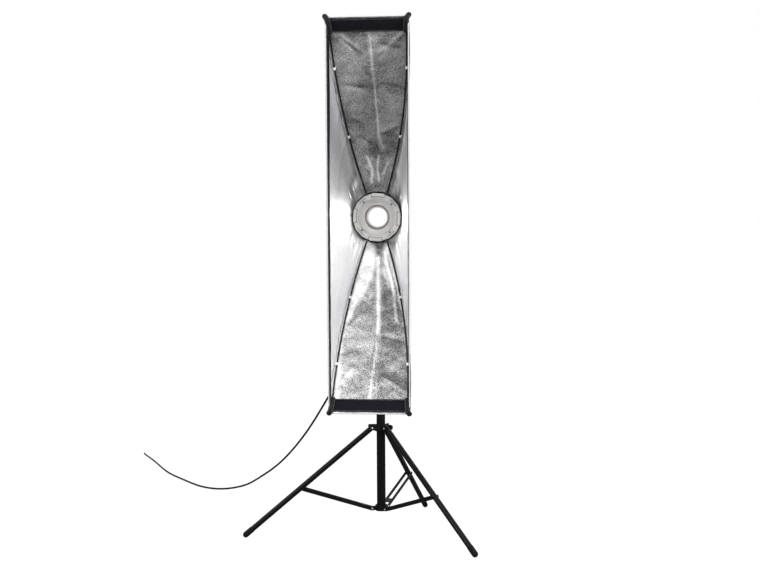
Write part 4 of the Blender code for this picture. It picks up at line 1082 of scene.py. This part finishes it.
def build_corner_tape(name, side_x, side_y):
    """Webbing sewn over the corner seam outside, with a line of stitches each side."""
    t = np.linspace(0.02, 0.985, 120)
    half = 0.009
    seam = seam_points(t, side_x, side_y)
    height = np.linalg.norm(seam - seam_points(t, side_x, -side_y), axis=1)
    width = np.linalg.norm(seam - seam_points(t, -side_x, side_y), axis=1)

    def on_side(away, offset):
        s = 1 - away / height if side_y > 0 else away / height
        return wall_curve(lambda s, t: side_points(side_x, s, t), s, t, (side_x, 0, 0), offset)

    def on_end(away, offset):
        s = 1 - away / width if side_x > 0 else away / width
        return wall_curve(lambda s, t: end_points(side_y, s, t), s, t, (0, side_y, 0), offset)

    crest = unit(on_side(0.0, 0.0)[1] + on_end(0.0, 0.0)[1])
    layers = []
    for offset, lift in ((0.0022, 1.25), (0.0009, 1.2)):
        rows = [on_side(away, offset)[0] for away in (half, half * 0.55, 0.0025)]
        rows.append(seam + crest * offset * lift)
        rows += [on_end(away, offset)[0] for away in (0.0025, half * 0.55, half)]
        layers.append(rows)
    tape = box_loft(f"corner_tape_{name}", layers[0] + layers[1][::-1], "webbing", 50)
    settle(tape, "softbox", "black_fabric")
    runs = [box_run(*wall(half * 0.8, 0.0024)) for wall in (on_side, on_end)]
    thread = stitches(f"corner_stitches_{name}", runs, "thread_grey", 0.0045, 0.0032)
    settle(thread, "softbox", "black_fabric")


def build_skirt():
    """Elastic hem that draws the cloth in behind the ring, with small gathers."""
    profile = (
        (0.0930, 0.1055), (0.0985, 0.1015), (0.1035, 0.1045), (0.1045, 0.1095), (0.1020, 0.1140),
        (0.0985, 0.1142), (0.0958, 0.1120), (0.0930, 0.1090),
    )
    turns = 2 * math.pi * np.arange(240) / 240
    rings = []
    for reach, height in rounded(profile, 0.0015):
        gather = 0.0009 * np.sin(46 * turns) * (reach - 0.0930) / 0.010
        ring = [(reach + gather) * np.cos(turns), (reach + gather) * np.sin(turns), height + 0.4 * gather]
        rings.append(moved(np.stack(ring, -1), BOX))
    settle(loft("rear_hem", rings, "outer_cloth", closed=True, angle=60), "softbox", "black_fabric")


# ---------------------------------------------------------------- speed ring and lamp


def ring_sector(radius_low, radius_high, middle, half_angle, low, high, inset=0.0):
    """A block bounded by two radii and two radial edges, about the optic axis."""
    arc = np.radians(np.linspace(middle - half_angle, middle + half_angle, 9))
    outline = [(radius_low * math.cos(a), radius_low * math.sin(a)) for a in arc]
    outline += [(radius_high * math.cos(a), radius_high * math.sin(a)) for a in arc[::-1]]
    return prism("ring_block", outline, low, high, BOX, "cast_grey", inset)


def build_ring():
    """Die-cast ring: sixteen-sided rim, four rod sockets, pockets between raised screw blocks."""
    tilt = math.radians(RING_TURN + 11.25)
    above = RING_FRONT + 0.01
    rim = circle(RING_R + 0.0012, 16, tilt)
    ring = prism("cast_speed_ring", rim, RING_BACK, RING_FRONT - 0.0045, BOX, "cast_grey", 0.0012)
    rim = circle(RING_R - 0.0008, 16, tilt)
    lip = prism("lip", rim, RING_BACK + 0.004, RING_FRONT, BOX, "cast_grey", 0.001)
    carve(ring, [lip], "UNION")
    cutters = [prism("bore", circle(RING_BORE, 120), RING_BACK - 0.01, above, BOX, "cast_grey", 0)]
    for k in range(4):
        cutters.append(ring_sector(0.0782, 0.0806, 90 * k + RING_TURN, 17.0, RING_FRONT - 0.0075, above))
        cutters.append(ring_sector(0.0832, 0.0880, 90 * k + PAD_TURN, 11.0, RING_FRONT - 0.0024, above))
        for side in (-1, 1):
            slot = placed(BOX, rotation=(0, 0, 90 * k + RING_TURN + 17.6 * side))
            outline = box_outline(0.020, 0.0024, (0.0880, 0))
            cutters.append(prism("notch", outline, RING_FRONT - 0.0065, above, slot, "cast_grey", 0))
    for side_x in (1, -1):
        for side_y in (1, -1):
            start, end = rod_points((-0.016, 0.05), side_x, side_y)
            way = Vector(end - start).to_track_quat("Z", "Y").to_matrix().to_4x4()
            hole = BOX @ Matrix.Translation(start) @ way
            cutters.append(prism("socket", circle(ROD_R + 0.0009, 20), 0, 0.04, hole, "cast_grey", 0))
    carve(ring, cutters)
    settle(ring, "softbox", "cast_grey", "speed_ring")


def crossed_screw(name, body, profile, spot, finish, steps, slot):
    """A screw head with a cross cut in its top."""
    head = lathe(name, profile, spot, finish, steps, 0.0003)
    sizes = ((slot, 0.0006), (0.0006, slot))
    carve(head, [prism("slot", box_outline(*size), 0.0009, 0.003, spot, finish, 0) for size in sizes])
    settle(head, body, "steel")


def build_ring_pad(index):
    """A raised pad on the diagonal with its countersunk screw."""
    angle = 90 * index + PAD_TURN
    pad = ring_sector(0.0728, 0.0805, angle, 10.5, RING_FRONT - 0.001, RING_FRONT + 0.0022, 0.0006)
    pad.name = f"ring_pad_{index + 1}"
    spot = placed(BOX, rotation=(0, 0, angle)) @ Matrix.Translation((0.0767, 0, RING_FRONT))
    carve(pad, [prism("hole", circle(0.0036, 24), -0.0002, 0.01, spot, "cast_grey", 0)])
    settle(pad, "softbox", "cast_grey")
    profile = [(0, -0.0005), (0.0029, -0.0005), (0.0029, 0.0010), (0.0016, 0.0016), (0, 0.0016)]
    crossed_screw(f"ring_screw_{index + 1}", "softbox", profile, spot, "black_tube", 24, 0.0030)


def build_ring_back():
    """The lug that carries the locking screw, behind the ring."""
    lug_frame = placed(BOX, rotation=(0, 0, -45))
    outline = rounded(box_outline(0.0115, 0.012, (0.07925, 0)), 0.002)
    lug = prism("ring_lock_lug", outline, 0.0915, RING_BACK + 0.001, lug_frame, "cast_grey", 0.001)
    across = placed(lug_frame, (0.07, 0, 0.097), (0, 90, 0))
    carve(lug, [prism("hole", circle(0.0029, 24), -0.02, 0.03, across, "cast_grey", 0)])
    settle(lug, "softbox", "cast_grey")


def build_insert():
    """Bayonet collar inside the ring: smooth steps down to the lamp."""
    outside = RING_BORE - 0.0004
    profile = [
        (0.0606, 0.0925), (0.0665, 0.0925), (0.0665, 0.1010), (outside, 0.1060), (outside, 0.1285),
        (0.0700, 0.1290), (0.0682, 0.1262), (0.0655, 0.1240), (0.0640, 0.1200), (0.0612, 0.1192),
        (0.0600, 0.1165), (0.0568, 0.1135), (0.0540, 0.1128), (0.0515, 0.1090), (0.0490, 0.1045),
        (0.0490, 0.1005), (0.0606, 0.1005),
    ]
    collar = lathe("bayonet_collar", profile, OPTIC, "turned_grey", 160, 0.0009, 50)
    settle(collar, "head", "cast_grey", "ring_insert")


def build_dome():
    """Frosted glass dome, a shell with a crowned nose."""
    outer = [(DOME_R, 0.0600), (DOME_R, 0.0860)]
    inner = [(DOME_R - 0.0024, 0.0600), (DOME_R - 0.0024, 0.0858)]
    for angle in np.radians(np.arange(8, 90, 9)):
        outer.append((DOME_R * math.cos(angle), 0.0900 + 0.0278 * math.sin(angle)))
        inner.append(((DOME_R - 0.0024) * math.cos(angle), 0.0895 + 0.0256 * math.sin(angle)))
    profile = [(0, 0.1151)] + inner[::-1] + outer + [(0, 0.1178)]
    dome = lathe("frosted_dome", profile, OPTIC, "glowing_dome", 128, 0.0003, 60)
    settle(dome, "head", "frosted_glass", "glass_dome")


def build_softbox():
    build_canopy()
    build_facing()
    build_piping()
    build_skirt()
    for name, *corner in CORNERS:
        build_rod(name, *corner)
        for index, middle in enumerate((0.36, 0.74)):
            build_tie(f"rod_tie_{name}_{index + 1}", middle, *corner)
        build_seam_allowance(name, *corner)
        build_pocket(name, *corner)
        build_corner_tape(name, *corner)
    build_ring()
    for index in range(4):
        build_ring_pad(index)
    build_ring_back()
    build_insert()
    build_dome()


# ---------------------------------------------------------------- carried-over CAD nodes

CAD_FINISHES = {
    "black_tube": "lower_tube middle_tube top_tube leg_left leg_right leg_back strut_left strut_right "
                  "strut_back receiver head_lug",
    "black_plastic": "base_collar leg_hub leg_hub_knob lower_clamp lower_clamp_knob upper_clamp "
                     "upper_clamp_knob receiver_knob tilt_lever rear_panel carry_handle fan_rotor power_dial "
                     "modelling_dial release_slider",
    "foot_rubber": "foot_left foot_right foot_back",
    "steel": "tilt_bolt ring_lock_screw",
    "brass": "spigot",
    "casing_paint": "head_casing",
    "cast_grey": "front_bezel",
    "ceramic": "lamp_socket",
    "clear_glass": "flash_tube modelling_lamp",
    "circuit_green": "circuit_board",
    "capacitor_blue": "flash_capacitor",
    "switch_red": "test_button power_switch",
    "cord_rubber": "cord_connector",
}


def smoothing_tree():
    """Modifier that welds a CAD mesh's facets, drops its stored normals and smooths its soft edges."""
    tree = bpy.data.node_groups.new("smooth_facets", "GeometryNodeTree")
    for way in ("INPUT", "OUTPUT"):
        tree.interface.new_socket("Geometry", in_out=way, socket_type="NodeSocketGeometry")
    kinds = ("NodeGroupInput", "GeometryNodeMergeByDistance", "GeometryNodeRemoveAttribute")
    kinds += ("GeometryNodeSetShadeSmooth", "GeometryNodeSetShadeSmooth", "NodeGroupOutput")
    chain = [tree.nodes.new(kind) for kind in kinds]
    merge, remove, _, edges = chain[1:5]
    merge.inputs["Distance"].default_value = 1e-5
    remove.inputs["Name"].default_value = "custom_normal"
    edges.domain = "EDGE"
    edges.inputs["Shade Smooth"].default_value = False
    angle = tree.nodes.new("GeometryNodeInputMeshEdgeAngle")
    sharp = tree.nodes.new("FunctionNodeCompare")
    sharp.inputs["B"].default_value = math.radians(32)
    tree.links.new(angle.outputs["Unsigned Angle"], sharp.inputs["A"])
    tree.links.new(sharp.outputs["Result"], edges.inputs["Selection"])
    for before, after in zip(chain, chain[1:]):
        tree.links.new(before.outputs[0], after.inputs[0])
    return tree


def finish_cad_nodes():
    tree = smoothing_tree()
    for finish, names in CAD_FINISHES.items():
        for name in names.split():
            node = frame["nodes"][name]
            node.data.materials.clear()
            node.data.materials.append(FINISHES[finish])
            node.modifiers.new("smooth_facets", "NODES").node_group = tree


def build_pin_heads():
    """Domed heads on both ends of the pins that the legs and struts turn on."""
    profile = [(0, 0), (0.0040, 0), (0.0040, 0.0006), (0.0030, 0.0016), (0.0014, 0.0021), (0, 0.0023)]
    for leg in ("left", "right", "back"):
        for kind, body, reach in (("leg", "leg_hub", 0.0154), ("strut", "column", 0.0144)):
            joint = JOINTS[f"{kind}_{leg}_fold"]
            axis = Vector(joint["axis"]).normalized()
            for end, side in (("a", 1), ("b", -1)):
                turn = (axis * side).to_track_quat("Z", "Y").to_matrix().to_4x4()
                spot = Matrix.Translation(joint["pos_m"]) @ turn @ Matrix.Translation((0, 0, reach))
                head = lathe(f"pin_head_{kind}_{leg}_{end}", profile, spot, "steel", 28, 0.0002)
                settle(head, body, "steel")


def on_panel(x, y):
    """A frame on the head's rear panel, looking backwards."""
    return placed(OPTIC, (x, y, PANEL_BACK), (180, 0, 0))


def build_head_details():
    """Trim on the lamp head: end bands, panel screws, dial scales, handle feet and the ribbed cord boot."""
    band = [(0.0616, -0.1995), (0.0634, -0.1990), (0.0634, -0.1885), (0.0616, -0.1880)]
    settle(lathe("casing_end_band", band, OPTIC, "black_plastic", 96, 0.0005), "head", "black_plastic")
    band = [(0.0616, 0.0400), (0.0629, 0.0402), (0.0629, 0.0448), (0.0616, 0.0450)]
    settle(lathe("casing_front_band", band, OPTIC, "black_plastic", 96, 0.0004), "head", "black_plastic")
    profile = [(0, -0.0010), (0.0030, -0.0010), (0.0030, 0.0007), (0.0018, 0.0015), (0, 0.0016)]
    for index, angle in enumerate(np.radians((38, 142, 218, 322))):
        spot = on_panel(0.0555 * math.cos(angle), 0.0555 * math.sin(angle))
        crossed_screw(f"panel_screw_{index + 1}", "head", profile, spot, "steel", 28, 0.0034)
    for name, x in (("power", -0.020), ("modelling", 0.020)):
        for k in range(11):
            turn = placed(on_panel(x, 0.030), rotation=(0, 0, -45 + 27 * k))
            length = 0.0026 if k % 5 == 0 else 0.0016
            outline = box_outline(length, 0.0005, (0.0124 + length / 2, 0))
            mark = prism(f"{name}_scale_{k + 1}", outline, -0.0003, 0.0002, turn, "cast_grey", 0.0001)
            settle(mark, "head", "cast_grey")
    profile = [(0, 0), (0.0098, 0), (0.0098, 0.0024), (0.0078, 0.0046), (0, 0.0046)]
    for name, z in (("rear", -0.1645), ("front", -0.0555)):
        spot = placed(OPTIC, (0, 0.0610, z), (-90, 0, 0))
        settle(lathe(f"handle_foot_{name}", profile, spot, "black_plastic", 48), "head", "black_plastic")
    for k in range(5):
        along = 0.0030 + 0.0040 * k
        spot = placed(OPTIC, (0, CORD_EXIT_Y, -0.2303), (180, 0, 0)) @ Matrix.Translation((0, 0, along))
        low = 0.0060 - 0.0025 * along / 0.022
        profile = [(low, -0.0012), (low + 0.0022, -0.0009), (low + 0.0022, 0.0009), (low, 0.0012)]
        settle(lathe(f"boot_rib_{k + 1}", profile, spot, "cord_rubber", 32, 0.0003), "head", "cord_rubber")


# ---------------------------------------------------------------- cord

# The cord's course from the head to its far end, in the column's frame
CORD_COURSE = (
    (-0.006, 0.281, 1.222), (-0.034, 0.264, 1.172), (-0.070, 0.200, 1.126), (-0.089, 0.128, 1.088),
    (-0.092, 0.066, 1.040), (-0.086, 0.036, 0.975), (-0.086, 0.036, 0.900), (-0.094, 0.066, 0.820),
    (-0.140, 0.160, 0.680), (-0.236, 0.290, 0.535), (-0.365, 0.411, 0.345), (-0.508, 0.600, 0.190),
    (-0.643, 0.739, 0.088), (-0.739, 0.832, 0.034), (-0.853, 0.878, 0.009), (-0.979, 0.963, 0.0045),
    (-1.141, 1.180, 0.0045), (-1.281, 1.399, 0.0045), (-1.468, 1.775, 0.0045), (-1.590, 2.010, 0.0045),
    (-1.622, 2.073, 0.0060),
)
# Heights between the head and the column at which each run of cord ends
CORD_BREAKS = (1.076, 0.985, 0.560, 0.100)


def build_cord():
    """Out of the connector, in against the column so that the head can turn, then away over the floor: five
    lengths that meet end to end, four that end at the given heights and ride on no body, and one on the floor
    that rides on the column."""
    knots = [COLUMN.inverted() @ OPTIC @ Vector((0, CORD_EXIT_Y, z)) for z in (-0.2490, -0.2640)]
    path = smooth_path(knots + list(CORD_COURSE))
    points = moved(path, COLUMN)
    section = circle(CORD_R, 16)
    marks = [0] + [next(k for k, point in enumerate(path) if point.z < height) for height in CORD_BREAKS]
    for index, (start, end) in enumerate(zip(marks, marks[1:])):
        run = points[start:end + 1]
        piece = sweep(f"cord_run_{index + 1}", run, section, "cord_rubber")
        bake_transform(piece)
    floor_run = sweep("cord_on_floor", points[marks[-1]:], section, "cord_rubber")
    settle(floor_run, "column", "cord_rubber", "power_cord")


# ---------------------------------------------------------------- stage


def build_floor():
    """A floor that is white to the eye and grey to everything else."""
    finish = Finish("pale_floor")
    seen = finish.camera_share()
    base = finish.mix(finish.noise(1.2, 3.0), (0.17, 0.17, 0.17), (0.20, 0.20, 0.20))
    base = finish.mix(seen, base, (0.05, 0.05, 0.05))
    finish.set(Base_Color=base, Roughness=0.8, Normal=finish.bump(finish.noise(90.0), 0.0003, 0.3))
    finish.set(Emission_Color=(1, 1, 1), Emission_Strength=finish.times(seen, FLOOR_GLOW))
    corners = [(x, y, -0.0002) for x, y in box_outline(60.0, 60.0)]
    make_piece("floor", corners, [[0, 1, 2, 3]], "pale_floor")


def build_world():
    """A white background to the eye; around the set, a studio that is bright above and dim below."""
    world = bpy.data.worlds.new("studio")
    bpy.context.scene.world = world
    world.use_nodes = True
    nodes = Nodes(world.node_tree)
    seen = world.node_tree.nodes["Background"]
    for label, value in (("Color", (1, 1, 1)), ("Strength", 1.0)):
        nodes.feed(seen.inputs[label], value)
    way = nodes.add("SeparateXYZ", Vector=nodes.add("TexCoord").outputs["Generated"])
    rise = nodes.remap(way.outputs["Z"], -0.1, 0.7, 0.30, 0.95)
    ambient = nodes.add("Background", Color=(0.95, 0.97, 1), Strength=rise)
    choose = nodes.add("MixShader")
    for socket, value in zip(choose.inputs, (nodes.camera_share(), ambient.outputs[0], seen.outputs[0])):
        nodes.feed(socket, value)
    nodes.feed(world.node_tree.nodes["World Output"].inputs["Surface"], choose.outputs[0])


def soft_light(name, location, target, size, power, colour=(1, 1, 1)):
    data = bpy.data.lights.new(name, "AREA")
    data.shape = "RECTANGLE"
    data.size, data.size_y = size
    data.energy = power
    data.color = colour
    light = bpy.data.objects.new(name, data)
    bpy.context.scene.collection.objects.link(light)
    light.location = location
    light.rotation_euler = (target - location).to_track_quat("-Z", "Y").to_euler()
    light.visible_camera = False
    return light


def build_lights():
    """Four large panels round the set, and the lamp's own light ahead of the dome."""
    middle = COLUMN @ Vector((0, 0, 1.0))
    for name, offset, size, power in (
        ("key", (-2.4, -3.0, 2.0), (1.6, 2.2), 76),
        ("fill", (2.8, -2.6, 1.0), (1.4, 2.4), 104),
        ("front", (0.3, -4.8, 3.4), (3.2, 1.6), 85),
        ("rim", (1.2, 3.0, 1.9), (2.0, 1.6), 45),
    ):
        soft_light(name, middle + Vector(offset), middle, size, power)
    ahead, beyond = (OPTIC @ Vector((0, 0, z)) for z in (0.134, 1))
    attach(soft_light("modelling_light", ahead, beyond, (0.05, 0.05), LAMP_SPILL, (1, 0.985, 0.96)), "head")


def build_camera():
    """At the side of the box's axis and about head height, looking across at the column and a little up."""
    data = bpy.data.cameras.new("camera")
    data.sensor_width = 36
    data.lens = 49.2
    data.clip_end = 100
    camera = bpy.data.objects.new("camera", data)
    bpy.context.scene.collection.objects.link(camera)
    height = 0.912
    place = COLUMN @ Vector((0.344, -4.147, height))
    heading = COLUMN @ Vector((0, 0, height)) - place
    rise = math.radians(1.02)
    forward = heading.normalized() * math.cos(rise) + Vector((0, 0, math.sin(rise)))
    level = forward.cross(Vector((0, 0, 1))).normalized()
    roll = math.radians(-0.35)
    right = level * math.cos(roll) + level.cross(forward) * math.sin(roll)
    camera.matrix_world = Matrix((right, right.cross(forward), -forward)).transposed().to_4x4()
    camera.matrix_world.translation = place
    bpy.context.scene.camera = camera
    bpy.context.scene.view_settings.view_transform = "Standard"


make_finishes()
finish_cad_nodes()
build_pin_heads()
build_head_details()
build_softbox()
build_cord()
build_floor()
build_world()
build_lights()
build_camera()
